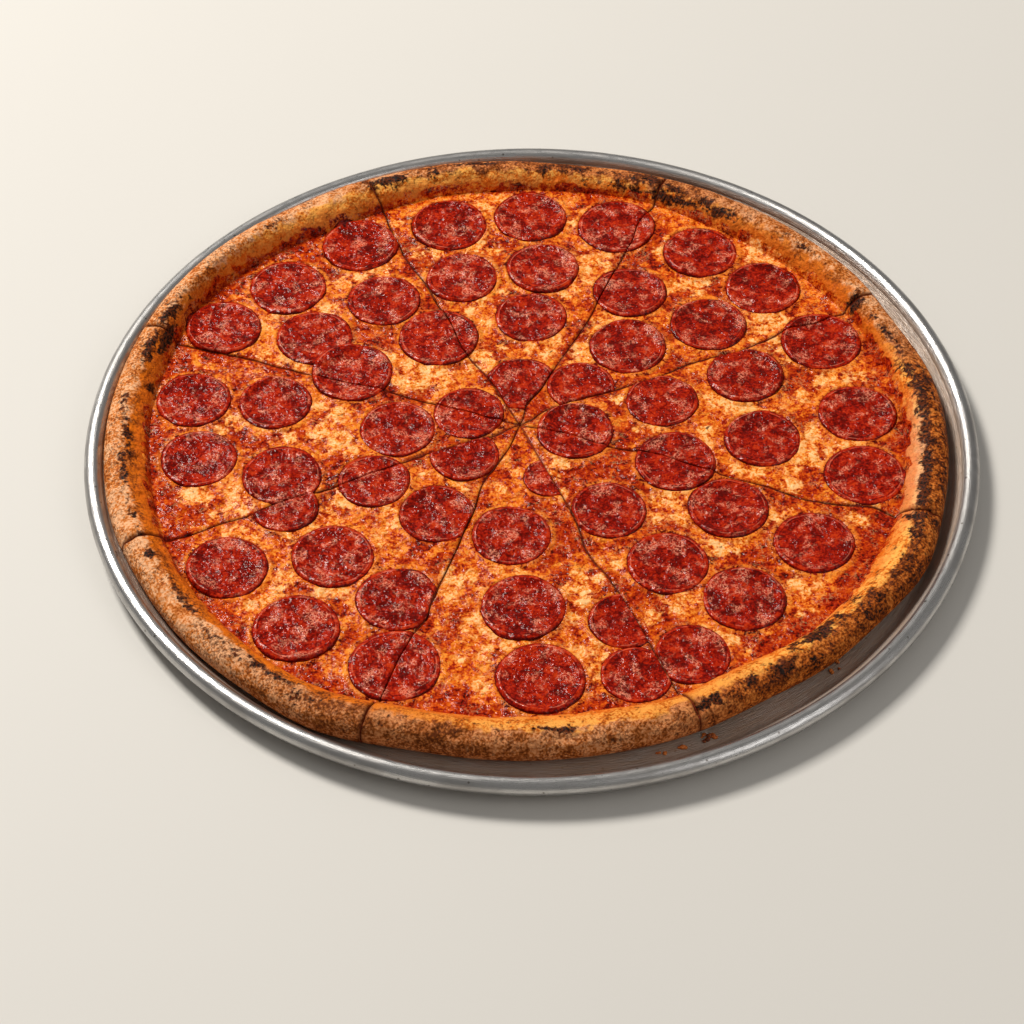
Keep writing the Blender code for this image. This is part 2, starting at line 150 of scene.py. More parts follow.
# Cream patches on the cheese: x, y and radius in mm
CREAM_PATCHES = (
    (-102, 120, 7), (-93, 125, 5), (-82, 131, 5), (-109, 99, 5), (-138, 94, 5), (-141, 86, 4),
    (-141, 65, 6), (-131, 61, 6), (-122, 54, 5), (-75, 62, 6), (-64, 57, 6), (-54, 53, 8),
    (-46, 45, 8), (-61, 43, 7), (-70, 45, 5), (-25, 64, 7), (-22, 56, 6), (-16, 70, 5),
    (-30, 54, 5), (-75, 168, 4), (-27, 183, 6), (-16, 191, 5), (-19, 168, 3), (-61, 144, 5),
    (-51, 144, 4), (-30, 151, 7), (-20, 147, 5), (-14, 115, 4), (-8, 117, 3), (-27, 106, 6),
    (-33, 99, 5), (-24, 90, 5), (-1, 70, 5), (-102, 19, 7), (-110, 24, 5), (-154, 16, 5),
    (34, 140, 7), (41, 135, 6), (42, 143, 5), (31, 155, 4), (23, 169, 4), (30, 179, 3),
    (30, 130, 4), (30, 122, 5), (25, 113, 5), (19, 111, 4), (41, 92, 6), (47, 94, 5), (34, 83, 5),
    (28, 64, 7), (26, 70, 5), (33, 61, 5), (23, 58, 5), (15, 74, 5), (8, 66, 5), (89, 119, 7),
    (83, 118, 5), (96, 121, 5), (91, 113, 5), (78, 119, 4), (124, 147, 5), (129, 138, 7),
    (121, 141, 5), (133, 152, 4), (130, 89, 8), (136, 91, 5), (124, 85, 6), (122, 92, 5),
    (118, 75, 5), (129, 74, 5), (133, 69, 4), (74, 114, 4), (70, 147, 4), (75, 157, 3),
    (157, 45, 7), (165, 45, 6), (151, 44, 5), (171, 48, 5), (136, 61, 4), (105, 25, 7),
    (114, 23, 6), (97, 28, 6), (124, 22, 5), (92, 34, 4), (141, 33, 5), (45, 30, 4),
    (-170, -35, 6), (-175, -41, 6), (-167, -40, 5), (-152, -35, 6), (-147, -41, 6), (-152, -48, 6),
    (-159, -52, 4), (-144, -49, 5), (-160, 9, 4), (-152, 12, 5), (-139, 10, 4), (-112, 5, 6),
    (-99, 2, 8), (-106, 9, 6), (-93, -6, 6), (-101, -3, 6), (-125, 2, 5), (-98, -41, 6),
    (-93, -44, 5), (-102, -48, 4), (-70, -36, 5), (-61, -41, 4), (-72, -49, 5), (-69, -57, 5),
    (-74, -62, 4), (-54, -22, 4), (-41, -28, 4), (-35, -32, 5), (-99, -57, 5), (-110, -60, 5),
    (-122, -65, 4), (-146, -62, 5), (-138, -67, 4), (-152, -64, 4), (-122, -94, 6),
    (-125, -101, 6), (-130, -107, 6), (-138, -112, 5), (-96, -102, 5), (-104, -104, 4),
    (-83, -94, 4), (-77, -69, 5), (-41, -88, 5), (-38, -96, 6), (-30, -94, 5), (-25, -104, 5),
    (-41, -104, 5), (-29, -120, 7), (-24, -126, 6), (-19, -130, 6), (-33, -126, 4), (-35, -146, 3),
    (-17, -90, 5), (-6, -90, 5), (-22, -141, 6), (-12, -136, 5), (-3, -138, 5), (-25, -162, 5),
    (-8, -22, 5), (-16, -33, 5), (92, 6, 6), (88, 9, 4), (89, -1, 5), (141, -5, 7), (144, 6, 6),
    (138, -13, 6), (143, -12, 6), (133, -18, 6), (151, -7, 4), (114, -20, 6), (105, -21, 5),
    (132, -31, 5), (69, -35, 6), (75, -34, 5), (64, -43, 6), (72, -45, 5), (63, -53, 5),
    (74, -53, 5), (92, -75, 6), (89, -70, 5), (102, -73, 5), (105, -67, 4), (121, -53, 6),
    (127, -49, 4), (116, -57, 4), (133, -101, 6), (129, -98, 5), (141, -98, 5), (135, -114, 5),
    (130, -119, 4), (165, -57, 5), (162, -54, 4), (173, -45, 4), (162, -4, 4), (168, -1, 4),
    (42, -86, 4), (33, -95, 5), (23, -93, 5), (19, -101, 6), (26, -101, 5), (25, -109, 5),
    (20, -119, 4), (74, -106, 6), (70, -114, 5), (78, -109, 5), (64, -104, 4), (58, -119, 5),
    (83, -126, 4), (30, -139, 6), (33, -144, 5), (23, -142, 5), (30, -152, 5), (31, -158, 4),
    (96, -133, 5), (89, -130, 4), (103, -141, 4), (11, -23, 4), (15, -37, 4), (14, -16, 5),
    (22, -9, 4), (55, 9, 4), (64, 10, 5),
)

# Charred marks on the crust: bearing in degrees, then how far in from the edge, half length and
# half breadth in mm, and strength
CHAR_MARKS = (
    (3, 11.5, 22, 4.0, 1.0), (10, 12.5, 12, 4.0, 0.9), (19, 10, 18, 2.5, 0.6),
    (27.5, 12, 6, 4.5, 1.0), (40.5, 10.5, 10, 2.5, 0.7), (57, 15, 14, 2.5, 0.9),
    (60, 12, 8, 3.0, 0.7), (67, 16, 28, 2.2, 1.0), (66, 11, 16, 2.5, 0.6), (76, 14, 14, 2.0, 0.5),
    (86.5, 10, 6, 4.0, 0.6), (103, 10, 14, 2.5, 0.4), (82, 6.5, 22, 3.0, 0.7),
    (98, 6, 24, 2.6, 0.8), (70, 8, 14, 5.0, 0.9), (111, 9, 15, 4.5, 1.0), (133, 8.5, 8, 3.0, 0.5),
    (157, 11, 10, 3.0, 0.9), (161, 15.5, 12, 3.0, 1.0), (165, 11, 12, 3.0, 0.9),
    (171, 18.5, 5, 2.5, 1.0), (176, 8.5, 14, 2.5, 0.7), (183, 12, 14, 2.5, 0.8),
    (190, 10.5, 20, 2.5, 0.6), (200, 11, 20, 2.2, 0.6), (207, 9.5, 5, 2.5, 1.0),
    (217, 11, 12, 2.5, 0.7), (226, 7, 16, 3.0, 0.4), (234, 9.5, 14, 2.5, 0.9),
    (241, 6, 10, 4.0, 0.6), (254, 9, 8, 1.5, 0.5), (274, 8.8, 12, 1.6, 0.9), (280, 8, 4, 2.0, 0.5),
    (295, 6.5, 9, 3.0, 0.9), (301.5, 7.5, 7, 3.0, 0.7), (307, 6, 8, 4.5, 1.0),
    (315, 14, 22, 5.0, 0.9), (325, 13, 12, 4.0, 0.6), (336, 9, 30, 5.0, 0.5),
    (341, 12, 3, 7.0, 1.0), (349, 11.5, 26, 3.5, 1.0), (357, 12.5, 14, 3.5, 0.9),
    (2, 6, 36, 4.5, 0.38),
)

# Local changes round the crust, as middle and spread in degrees, and strength: how brown its outer
# side is, how much painted light makes its inner side paler, and how much sauce, with painted shade in
# places, shows at its foot
BAKE = 0.12
BAKE_BULGES = ((316, 26, 0.85), (0, 20, 0.85), (255, 30, 0.42), (62, 22, 0.30), (92, 28, 0.45))
# Painted light: where the inner side of the crust is made paler, towards the lip colour and at its
# strongest the dough colour
PAINTED_LIGHT_BULGES = (
    (90, 30, 1.1), (354, 18, 1.8), (316, 24, 0.75), (272, 20, 0.60), (135, 20, 0.50), (45, 16, 0.15),
)
RING = 0.8
# Sauce at the crust's foot, partly painted shade: added at the back left, and taken away at the back as
# painted light against the crust's shadow
SAUCE_AND_SHADE_BULGES = ((50, 24, -1.30), (100, 22, -1.10), (138, 14, 0.40), (225, 16, 0.20), (330, 20, 0.20))

# How far in the crust's outer colour reaches
BORDER = 11.5 * MM
BORDER_BULGES = ((275, 25, -3.0 * MM), (312, 16, -1.5 * MM), (0, 25, 2.0 * MM), (60, 20, 1.5 * MM))

# Lumps of the surfaces: width, height and seed, with the cheese's heights as shares of its setting
CHEESE_LUMPS = ((26 * MM, 1.0, 11), (9 * MM, 0.6, 12), (4 * MM, 0.45, 13), (2 * MM, 0.25, 14))
CRUST_LUMPS = ((26 * MM, 0.9 * MM, 21), (10 * MM, 0.6 * MM, 22), (4 * MM, 0.35 * MM, 23),
               (2 * MM, 0.18 * MM, 24))
MEAT_LUMPS = ((8 * MM, 0.45 * MM, 31), (4 * MM, 0.16 * MM, 32), (2 * MM, 0.05 * MM, 33))

# Relief: the cheese's lip round a pepperoni and its dip beneath it, how far the crust's lumps are sunk,
# and the crust's notch, the cheese's ridge and the rounded edge at a cut
LIP_HEIGHT, MEAT_DIP, CRUST_SINK = 0.7 * MM, 0.3 * MM, 1.1 * MM
NOTCH_DEPTH, CUT_RIDGE, CUT_EDGE = 1.5 * MM, 0.3 * MM, 0.5 * MM

# Steps of the meshes, and where the ridge of a pepperoni lies as a share of its radius
BEND_STEPS, BEAD_STEPS = 10, 36
SLOPE_ROWS, SIDE_ROWS, FOOT_ROWS = 16, 12, 10
DISC_STEPS = 120
RIDGE = 0.88

# Rounded edge of a pepperoni, as shares of its radius and thickness, and how deep its underside is sunk
# in the cheese at the rim and in the middle
EDGE_LEVELS = ((0.91, 0.98), (0.94, 0.90), (0.965, 0.74), (0.985, 0.5), (1.0, 0.1))
RIM_SINK, MIDDLE_SINK = 0.9 * MM, 0.8 * MM

# Noise seldom leaves this range
WIDE = (0.3, 0.7)

# Low, so that the oil glints only in places
OILY_SPECULAR = 0.10

# Crumbs: x, y and spread in mm of the places where they lie in the pan
CRUMB_PLACES = ((74, -197, 7), (82, -191, 5), (60, -201, 5), (150, -146, 8))

# Camera, fitted to the pan's rim in the photograph
CAMERA_ELEVATION = math.radians(46.98)
CAMERA_DISTANCE = 1.414
CAMERA_AIM = (-0.0101, -0.0524, 0.011)
CAMERA_LENS = 99.34

# Lights and floor
LIGHT_AIM = (0.0, 0.0, 0.01)
KEY_PLACE, KEY_SIZE, KEY_COLOUR = (-1.35, 1.50, 2.35), 0.8, (1.0, 0.97, 0.92)
FILL_PLACE, FILL_SIZE, FILL_COLOUR = (1.6, -1.0, 1.6), 1.5, (1.0, 0.98, 0.96)
AMBIENT_COLOUR = (1.0, 0.98, 0.95, 1.0)
FLOOR_HALF = 6.0
FLOOR_DROP = 0.2 * MM


def shade(red, green, blue):
    """A display colour in 0 to 255 as the linear colour that shaders use."""
    parts = (channel / 255 for channel in (red, green, blue))
    return tuple(p / 12.92 if p <= 0.04045 else ((p + 0.055) / 1.055) ** 2.4 for p in parts)


def colour_property(name, description, default):
    return FloatVectorProperty(name=name, description=description, subtype="COLOR", size=3,
                               min=0.0, max=1.0, default=default)


class PanSettings(bpy.types.PropertyGroup):
    """Sizes and finish of the pan."""

    sides: IntProperty(name="Sides", description="Sides round the pan", default=240, min=24)
    metal: colour_property("Metal", "Bare aluminium", shade(196, 194, 192))
    grime: colour_property("Grime", "Baked-on dark film", shade(84, 74, 66))
    # A painted brown reflection inside the pan, which also lightens the shade there
    painted_reflection: colour_property("Reflection", "Brownish film inside the pan", shade(180, 150, 122))


class SliceSettings(bpy.types.PropertyGroup):
    """Sizes and colours of the dough, sauce and cheese."""

    columns: IntProperty(name="Columns", description="Steps across a slice", default=168, min=8)
    rows: IntProperty(name="Rows", description="Steps from tip to crust", default=150, min=8)
    lump: FloatProperty(name="Lumps", description="Height of the cheese's lumps", default=0.55 * MM,
                        unit="LENGTH")
    cream: colour_property("Cream", "Palest melted cheese", shade(255, 196, 130))
    gold: colour_property("Gold", "Golden melted cheese", shade(248, 150, 52))
    orange: colour_property("Orange", "Oily orange cheese", shade(224, 102, 16))
    rust: colour_property("Rust", "Cheese soaked with sauce", shade(190, 58, 7))
    sauce: colour_property("Sauce", "Sauce showing through", shade(142, 22, 3))
    burnt: colour_property("Burnt", "Browned spots", shade(72, 10, 2))
    dough: colour_property("Dough", "Pale floured crust", shade(240, 180, 132))
    tan: colour_property("Tan", "Tan crust", shade(216, 124, 50))
    baked: colour_property("Baked", "Browned crust", shade(170, 82, 18))
    brown: colour_property("Brown", "Dark baked crust", shade(92, 38, 8))
    golden: colour_property("Golden", "Oily inner side of the crust", shade(224, 112, 14))
    # Lip: the pale colour that the painted light on the crust's inner side brings in
    lip: colour_property("Lip", "Palest inner side of the crust", shade(254, 180, 84))
    char: colour_property("Char", "Charred crust", shade(26, 13, 8))
    crumb: colour_property("Crumb", "Cut side of the dough", shade(226, 178, 116))


class PepperoniSettings(bpy.types.PropertyGroup):
    """Sizes and colours of the pepperoni."""

    thickness: FloatProperty(name="Thickness", description="Height of a piece over the cheese",
                             default=0.95 * MM, unit="LENGTH")
    cup: FloatProperty(name="Cup", description="How far the rim curls up", default=0.8 * MM,
                       unit="LENGTH")
    bright: colour_property("Bright", "Oily bright meat", shade(194, 54, 15))
    red: colour_property("Red", "Cured meat", shade(164, 27, 6))
    deep: colour_property("Deep", "Deep red meat", shade(120, 11, 2))
    dark: colour_property("Dark", "Dark meat", shade(88, 8, 3))
    # Glint: the pale colour of the painted glints and the painted highlight on the rim
    glint: colour_property("Glint", "Flecks of fat", shade(242, 148, 116))


class CrumbSettings(bpy.types.PropertyGroup):
    """How many crumbs fell, and their size."""

    count: IntProperty(name="Count", description="Crumbs at each place", default=12, min=0)
    size: FloatProperty(name="Size", description="Radius of the largest crumbs", default=1.3 * MM,
                        unit="LENGTH")


class StageSettings(bpy.types.PropertyGroup):
    """Floor and light."""

    floor: colour_property("Floor", "Plain pale floor", shade(212, 208, 201))
    key_power: FloatProperty(name="Key power", description="Power of the main light", default=105.0,
                             unit="POWER")
    fill_power: FloatProperty(name="Fill power", description="Power of the fill light", default=10.0,
                              unit="POWER")
    ambient: FloatProperty(name="Ambient", description="Strength of the surrounding light",
                           default=0.24)


# Shapes shared by the pieces

def direction(bearing):
    return math.cos(bearing), math.sin(bearing)


def along(start, heading, distance):
    return start[0] + heading[0] * distance, start[1] + heading[1] * distance


def waves(bearing, terms):
    """Sum of (count, height, phase) waves round the pizza."""
    return sum(height * np.sin(count * bearing + phase) for count, height, phase in terms)


def bulges(bearing, terms):
    """Sum of smooth local (middle in degrees, spread in degrees, height) changes at bearings."""
    total = 0.0
    for middle, spread, height in terms:
        away = turned(bearing, middle) / math.radians(spread)
        total = total + height * np.exp(-away ** 2)
    return total


def field(x, y, cell, seed):
    """Smooth noise from -1 to 1 over a plane, with features about a cell wide."""
    table = np.random.default_rng(seed).uniform(-1, 1, (256, 256))
    u, v = np.asarray(x) / cell, np.asarray(y) / cell
    i, j = np.floor(u).astype(int), np.floor(v).astype(int)
    fu, fv = u - i, v - j
    fu, fv = fu * fu * (3 - 2 * fu), fv * fv * (3 - 2 * fv)
    low = table[i % 256, j % 256] * (1 - fu) + table[(i + 1) % 256, j % 256] * fu
    high = table[i % 256, (j + 1) % 256] * (1 - fu) + table[(i + 1) % 256, (j + 1) % 256] * fu
    return low * (1 - fv) + high * fv


def lumps(x, y, terms):
    """Sum of (width, height, seed) lumps."""
    return sum(height * field(x, y, width, seed) for width, height, seed in terms)


def hump(value, middle, spread):
    """1 at a middle value, falling smoothly to 0 on both sides."""
    return np.exp(-((value - middle) / spread) ** 2)


def turned(bearing, degrees):
    """Angles from a bearing in degrees to other bearings, the short way round."""
    return np.angle(np.exp(1j * (bearing - math.radians(degrees))))


def strip(here, there, count):
    """Faces between two columns of points."""
    return [(here + row, here + row + 1, there + row + 1, there + row) for row in range(count - 1)]


def smooth(value):
    """Eases from 0 to 1."""
    value = np.clip(value, 0, 1)
    return value * value * (3 - 2 * value)


def polar(x, y):
    """Distance and bearing of points from the pizza's centre."""
    dx, dy = x - PIZZA_CENTRE[0], y - PIZZA_CENTRE[1]
    return np.hypot(dx, dy), np.arctan2(dy, dx)


def outline_radius(bearing):
    return PIZZA_RADIUS + waves(bearing, OUTLINE_WAVES) + bulges(bearing, OUTLINE_BULGES)


def crust_width(bearing):
    return CRUST_WIDTH + waves(bearing, CRUST_WIDTH_WAVES) + bulges(bearing, CRUST_WIDTH_BULGES)


def crust_place(x, y):
    """How far points lie in from the crust's edge, how far up its slope, and the crust's top there."""
    distance, bearing = polar(x, y)
    inward = np.maximum(0.0, outline_radius(bearing) - distance)
    width = crust_width(bearing)
    rise = np.clip((width - inward) / (width - CRUST_CREST), 0, 1)
    top = CRUST_TOP + waves(bearing, CRUST_TOP_WAVES) + bulges(bearing, CRUST_TOP_BULGES)
    return inward, rise, top


def plain_height(x, y):
    """Upper surface of the solids: flat cheese, then the crust's rising and rounded rim."""
    inward, rise, top = crust_place(x, y)
    drop = np.clip((CRUST_CREST - inward) / CRUST_CREST, 0, 1)
    outer = CRUST_WIDEST + (top - CRUST_WIDEST) * np.sqrt(np.maximum(0.0, 1 - drop ** 2))
    inner = CHEESE_TOP + (top - CHEESE_TOP) * (1 - (1 - rise) ** 2) ** CRUST_ROUNDNESS
    return np.where(inward < CRUST_CREST, outer, inner)


def seat_height(x, y):
    """Upper surface with only the cheese's broad lumps, which the pepperoni follow."""
    lump = bpy.context.scene.pizza_slices.lump
    rise = crust_place(x, y)[1]
    return plain_height(x, y) + lump * lumps(x, y, CHEESE_LUMPS[:1]) * (1 - smooth(rise))


def slice_edges(number):
    """Bearings of the two cuts that bound a slice, the second above the first."""
    first = CUT_BEARINGS[number - 1]
    second = CUT_BEARINGS[number % len(CUT_BEARINGS)]
    if second < first:
        second += 360
    return math.radians(first), math.radians(second)


def slice_tip(number):
    first, second = slice_edges(number)
    back = CUT_GAP / 2 / math.sin((second - first) / 2)
    return along(CUT_CENTRE, direction((first + second) / 2), back)


def cut_shift(x, y):
    """How far the wandering cuts carry points of the straight-cut pizza."""
    shift_x, shift_y = np.zeros(np.shape(x)), np.zeros(np.shape(y))
    for bearing, bends in zip(CUT_BEARINGS, CUT_BENDS):
        heading = direction(math.radians(bearing))
        dx, dy = x - CUT_CENTRE[0], y - CUT_CENTRE[1]
        ahead = dx * heading[0] + dy * heading[1]
        aside = dy * heading[0] - dx * heading[1]
        offset = sum(amount * MM * hump(ahead / MM, middle, spread)
                     for middle, spread, amount in bends)
        offset = offset * hump(aside, 0.0, BEND_REACH) * smooth(ahead / BEND_START)
        shift_x = shift_x - heading[1] * offset
        shift_y = shift_y + heading[0] * offset
    return shift_x, shift_y


def bent(x, y):
    """Where points of the straight-cut pizza lie on the real one."""
    shift_x, shift_y = cut_shift(x, y)
    return x + shift_x, y + shift_y


def straightened(x, y):
    """The points of the straight-cut pizza that lie at given places on the real one."""
    plain_x, plain_y = x, y
    for _ in range(6):
        shift_x, shift_y = cut_shift(plain_x, plain_y)
        plain_x, plain_y = x - shift_x, y - shift_y
    return plain_x, plain_y


def pan_limit(z):
    """Greatest radius that food may reach inside the pan at a height, with the gap kept."""
    skin = SHEET / 2 + CLEARANCE
    wall = wall_foot_radius() + (z - SHEET / 2) / math.tan(WALL_SLOPE) - skin / math.sin(WALL_SLOPE)
    bend = FLOOR_BEND - skin
    drop = SHEET / 2 + FLOOR_BEND - z
    limit = wall
    if drop > bend * math.cos(WALL_SLOPE):
        limit = min(limit, floor_radius() + math.sqrt(max(0.0, bend ** 2 - drop ** 2)))
    bead = BEAD_RADIUS + CLEARANCE
    if abs(z - BEAD_HEIGHT) < bead:
        limit = min(limit, BEAD_CENTRE - math.sqrt(bead ** 2 - (z - BEAD_HEIGHT) ** 2))
    return limit if z < BEAD_HEIGHT + bead else PAN_RADIUS


def reach_outline(start, heading):
    """Distance from a point inside the pizza to its outline along a heading."""
    near, far = 0.0, 2 * PIZZA_RADIUS
    for _ in range(40):
        middle = (near + far) / 2
        distance, bearing = polar(*along(start, heading, middle))
        if distance < outline_radius(bearing):
            near = middle
        else:
            far = middle
    return near


def clip(polygon, point, inward):
    """The part of a convex polygon on the side of a line that its inward direction names."""
    def depth(corner):
        return (corner[0] - point[0]) * inward[0] + (corner[1] - point[1]) * inward[1]

    kept = []
    for index, corner in enumerate(polygon):
        following = polygon[(index + 1) % len(polygon)]
        here, there = depth(corner), depth(following)
        if here >= 0:
            kept.append(corner)
        if here * there < 0:
            share = here / (here - there)
            kept.append(tuple(a + (b - a) * share for a, b in zip(corner, following)))
    return kept


def centroid(polygon):
    area = sum_x = sum_y = 0.0
    for (ax, ay), (bx, by) in zip(polygon, polygon[1:] + polygon[:1]):
        cross = ax * by - bx * ay
        area += cross / 2
        sum_x += (ax + bx) * cross / 6
        sum_y += (ay + by) * cross / 6
    return sum_x / area, sum_y / area


def resample(polygon, spacing):
    """The polygon with points added so that no side is longer than the spacing."""
    points = []
    for (ax, ay), (bx, by) in zip(polygon, polygon[1:] + polygon[:1]):
        steps = max(1, math.ceil(math.hypot(bx - ax, by - ay) / spacing))
        points += [(ax + (bx - ax) * i / steps, ay + (by - ay) * i / steps) for i in range(steps)]
    return points


# Mesh and material helpers

def new_piece(name, vertices, faces, materials, replaces=()):
    """A smooth object in the row frame that rides on the body and takes a slot's finish."""
    mesh = bpy.data.meshes.new(name)
    mesh.from_pydata([tuple(v) for v in vertices], [], faces)
    for material in materials:
        mesh.materials.append(material)
    mesh.shade_smooth()
    obj = bpy.data.objects.new(name, mesh)
    bpy.context.scene.collection.objects.link(obj)
    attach(obj, "root")
    if replaces:
        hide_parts(*replaces)
    return obj


def face_outward(obj):
    """Turns every face of a closed piece to face out."""
    bm = bmesh.new()
    bm.from_mesh(obj.data)
    bmesh.ops.recalc_face_normals(bm, faces=bm.faces)
    bm.to_mesh(obj.data)
    bm.free()


def keep_values(obj, name, values):
    """Stores one number for each point of a piece, for its material to read."""
    attribute = obj.data.attributes.new(name, "FLOAT", "POINT")
    attribute.data.foreach_set("value", np.asarray(values, dtype=np.float32))


def keep_places(obj, name, places):
    """Stores one vector for each point of a piece, for its material to read."""
    attribute = obj.data.attributes.new(name, "FLOAT_VECTOR", "POINT")
    attribute.data.foreach_set("vector", np.asarray(places, dtype=np.float32).ravel())


class Sheet:
    """A small helper that adds and wires nodes in one tree."""

    def __init__(self, tree):
        self.tree = tree

    def add(self, kind, inputs=None, **settings):
        node = self.tree.nodes.new(kind)
        for key, value in settings.items():
            setattr(node, key, value)
        for key, value in (inputs or {}).items():
            self.put(node.inputs[key], value)
        return node

    def put(self, socket, value):
        if isinstance(value, bpy.types.NodeSocket):
            self.tree.links.new(value, socket)
        elif socket.type == "RGBA":
            socket.default_value = (*value[:3], 1.0)
        else:
            socket.default_value = value

    def math(self, operation, first, second=0.0, third=0.0):
        node = self.add("ShaderNodeMath", operation=operation)
        for place, value in enumerate((first, second, third)):
            self.put(node.inputs[place], value)
        return node.outputs[0]

    def span(self, value, low, high, to_low=0.0, to_high=1.0):
        """The value mapped smoothly from one range to another."""
        node = self.add("ShaderNodeMapRange", {"Value": value, "From Min": low, "From Max": high,
                                               "To Min": to_low, "To Max": to_high},
                        interpolation_type="SMOOTHSTEP")
        return node.outputs[0]

    def times(self, first, second):
        return self.math("MULTIPLY", first, second)

    def scaled(self, value, factor, offset):
        return self.math("MULTIPLY_ADD", value, factor, offset)

    def mix(self, share, first, second):
        node = self.add("ShaderNodeMix", data_type="RGBA")
        self.put(node.inputs["Factor"], share)
        self.put(node.inputs[6], first)
        self.put(node.inputs[7], second)
        return node.outputs[2]

    def tint(self, colour, other, mask, strength):
        """The colour with another laid over it by a mask."""
        return self.mix(self.times(mask, strength), colour, other)

    def ramp(self, value, stops):
        """A colour ramp through (place, colour) stops."""
        node = self.add("ShaderNodeValToRGB", {"Fac": value})
        elements = node.color_ramp.elements
        while len(elements) < len(stops):
            elements.new(0.5)
        for element, (place, colour) in zip(elements, stops):
            element.position = place
            element.color = (*colour[:3], 1.0)
        return node.outputs["Color"]

    def attribute(self, name, output="Fac"):
        return self.add("ShaderNodeAttribute", attribute_name=name).outputs[output]

    def places(self):
        return self.add("ShaderNodeTexCoord").outputs["Object"]

    def mottle(self, vector, scale, low, high, detail=3.0, distortion=0.0):
        """Blotches from 0 to 1."""
        node = self.group(mottle_group(), {"Vector": vector, "Scale": scale, "Low": low, "High": high,
                                           "Detail": detail, "Distortion": distortion})
        return node.outputs["Mask"]

    def specks(self, vector, scale, size):
        """Small round specks, 1 inside and 0 outside."""
        node = self.group(speck_group(), {"Vector": vector, "Scale": scale, "Size": size})
        return node.outputs["Mask"]

    def veins(self, vector, scale, width, detail=3.0):
        """Thin wandering lines, 1 on a line and 0 away from it."""
        node = self.group(vein_group(), {"Vector": vector, "Scale": scale, "Width": width,
                                         "Detail": detail})
        return node.outputs["Mask"]

    def total(self, parts):
        """Sum of (value, weight) pairs."""
        value = 0.0
        for part, weight in parts:
            value = self.scaled(part, weight, value)
        return value

    def layers(self, vector, terms):
        """Sum of wide blotches of several sizes: (scale, detail, distortion, weight)."""
        return self.total([(self.mottle(vector, scale, *WIDE, detail, distortion), weight)
                           for scale, detail, distortion, weight in terms])

    def grain(self, vector, scale, depth, normal=None):
        """A fine bumpy normal."""
        inputs = {"Vector": vector, "Scale": scale, "Depth": depth}
        if normal is not None:
            inputs["Normal"] = normal
        return self.group(grain_group(), inputs).outputs["Normal"]

    def dress(self, shader, colour, roughness, normal=None):
        """Gives a shader its colour, its roughness and, where there is one, its bumpy normal."""
        self.put(shader.inputs["Base Color"], colour)
        self.put(shader.inputs["Roughness"], roughness)
        if normal is not None:
            self.put(shader.inputs["Normal"], normal)

    def group(self, tree, inputs):
        node = self.tree.nodes.new("ShaderNodeGroup")
        node.node_tree = tree
        for key, value in inputs.items():
            self.put(node.inputs[key], value)
        return node


def shared_group(name, inputs, output, build):
    """The shader group of a name, built when it is first asked for."""
    if name in bpy.data.node_groups:
        return bpy.data.node_groups[name]
    tree = bpy.data.node_groups.new(name, "ShaderNodeTree")
    for socket_name, default in inputs.items():
        kind = "NodeSocketVector" if default is None else "NodeSocketFloat"
        socket = tree.interface.new_socket(name=socket_name, in_out="INPUT", socket_type=kind)
        if default is not None:
            socket.default_value = default
    kind = "NodeSocketVector" if output == "Normal" else "NodeSocketFloat"
    tree.interface.new_socket(name=output, in_out="OUTPUT", socket_type=kind)
    sheet = Sheet(tree)
    given, result = sheet.add("NodeGroupInput").outputs, sheet.add("NodeGroupOutput").inputs
    sheet.put(result[output], build(sheet, given))
    return tree


def noise_of(sheet, given, *names, **fixed):
    """A noise that takes some inputs from its group, and has others fixed."""
    inputs = {key: given[key] for key in names}
    return sheet.add("ShaderNodeTexNoise", {**inputs, **fixed}).outputs["Fac"]


def mottle_group():
    """Soft blotches: noise stretched between two limits."""
    def build(sheet, given):
        noise = noise_of(sheet, given, "Vector", "Scale", "Detail", "Distortion")
        return sheet.span(noise, given["Low"], given["High"])

    inputs = {"Vector": None, "Scale": 100.0, "Low": 0.4, "High": 0.6, "Detail": 3.0,
              "Distortion": 0.0}
    return shared_group("Mottle", inputs, "Mask", build)


def speck_group():
    """Round specks of uneven size."""
    def build(sheet, given):
        cells = sheet.add("ShaderNodeTexVoronoi", {key: given[key] for key in ("Vector", "Scale")})
        uneven = sheet.add("ShaderNodeSeparateColor", {"Color": cells.outputs["Color"]}).outputs[0]
        size = sheet.times(given["Size"], uneven)
        mask = sheet.math("SUBTRACT", size, cells.outputs["Distance"])
        return sheet.span(mask, -0.04, 0.04)

    return shared_group("Specks", {"Vector": None, "Scale": 400.0, "Size": 0.25}, "Mask", build)


def vein_group():
    """Thin wandering lines where a noise crosses its middle."""
    def build(sheet, given):
        noise = noise_of(sheet, given, "Vector", "Scale", "Detail")
        away = sheet.math("ABSOLUTE", sheet.math("SUBTRACT", noise, 0.5))
        return sheet.span(away, given["Width"], 0.0)

    inputs = {"Vector": None, "Scale": 200.0, "Width": 0.02, "Detail": 3.0}
    return shared_group("Veins", inputs, "Mask", build)


def grain_group():
    """A fine bumpy surface."""
    def build(sheet, given):
        noise = noise_of(sheet, given, "Vector", "Scale", Detail=1.0, Roughness=0.5)
        bump = sheet.add("ShaderNodeBump", {"Height": noise, "Strength": 1.0,
                                            "Distance": given["Depth"], "Normal": given["Normal"]})
        return bump.outputs["Normal"]

    inputs = {"Vector": None, "Scale": 500.0, "Depth": 0.5 * MM, "Normal": None}
    return shared_group("Grain", inputs, "Normal", build)


def new_material(name):
    """A material with its sheet and its Principled shader."""
    material = bpy.data.materials.new(name)
    material.use_nodes = True
    sheet = Sheet(material.node_tree)
    return material, sheet, material.node_tree.nodes["Principled BSDF"]


# Pan

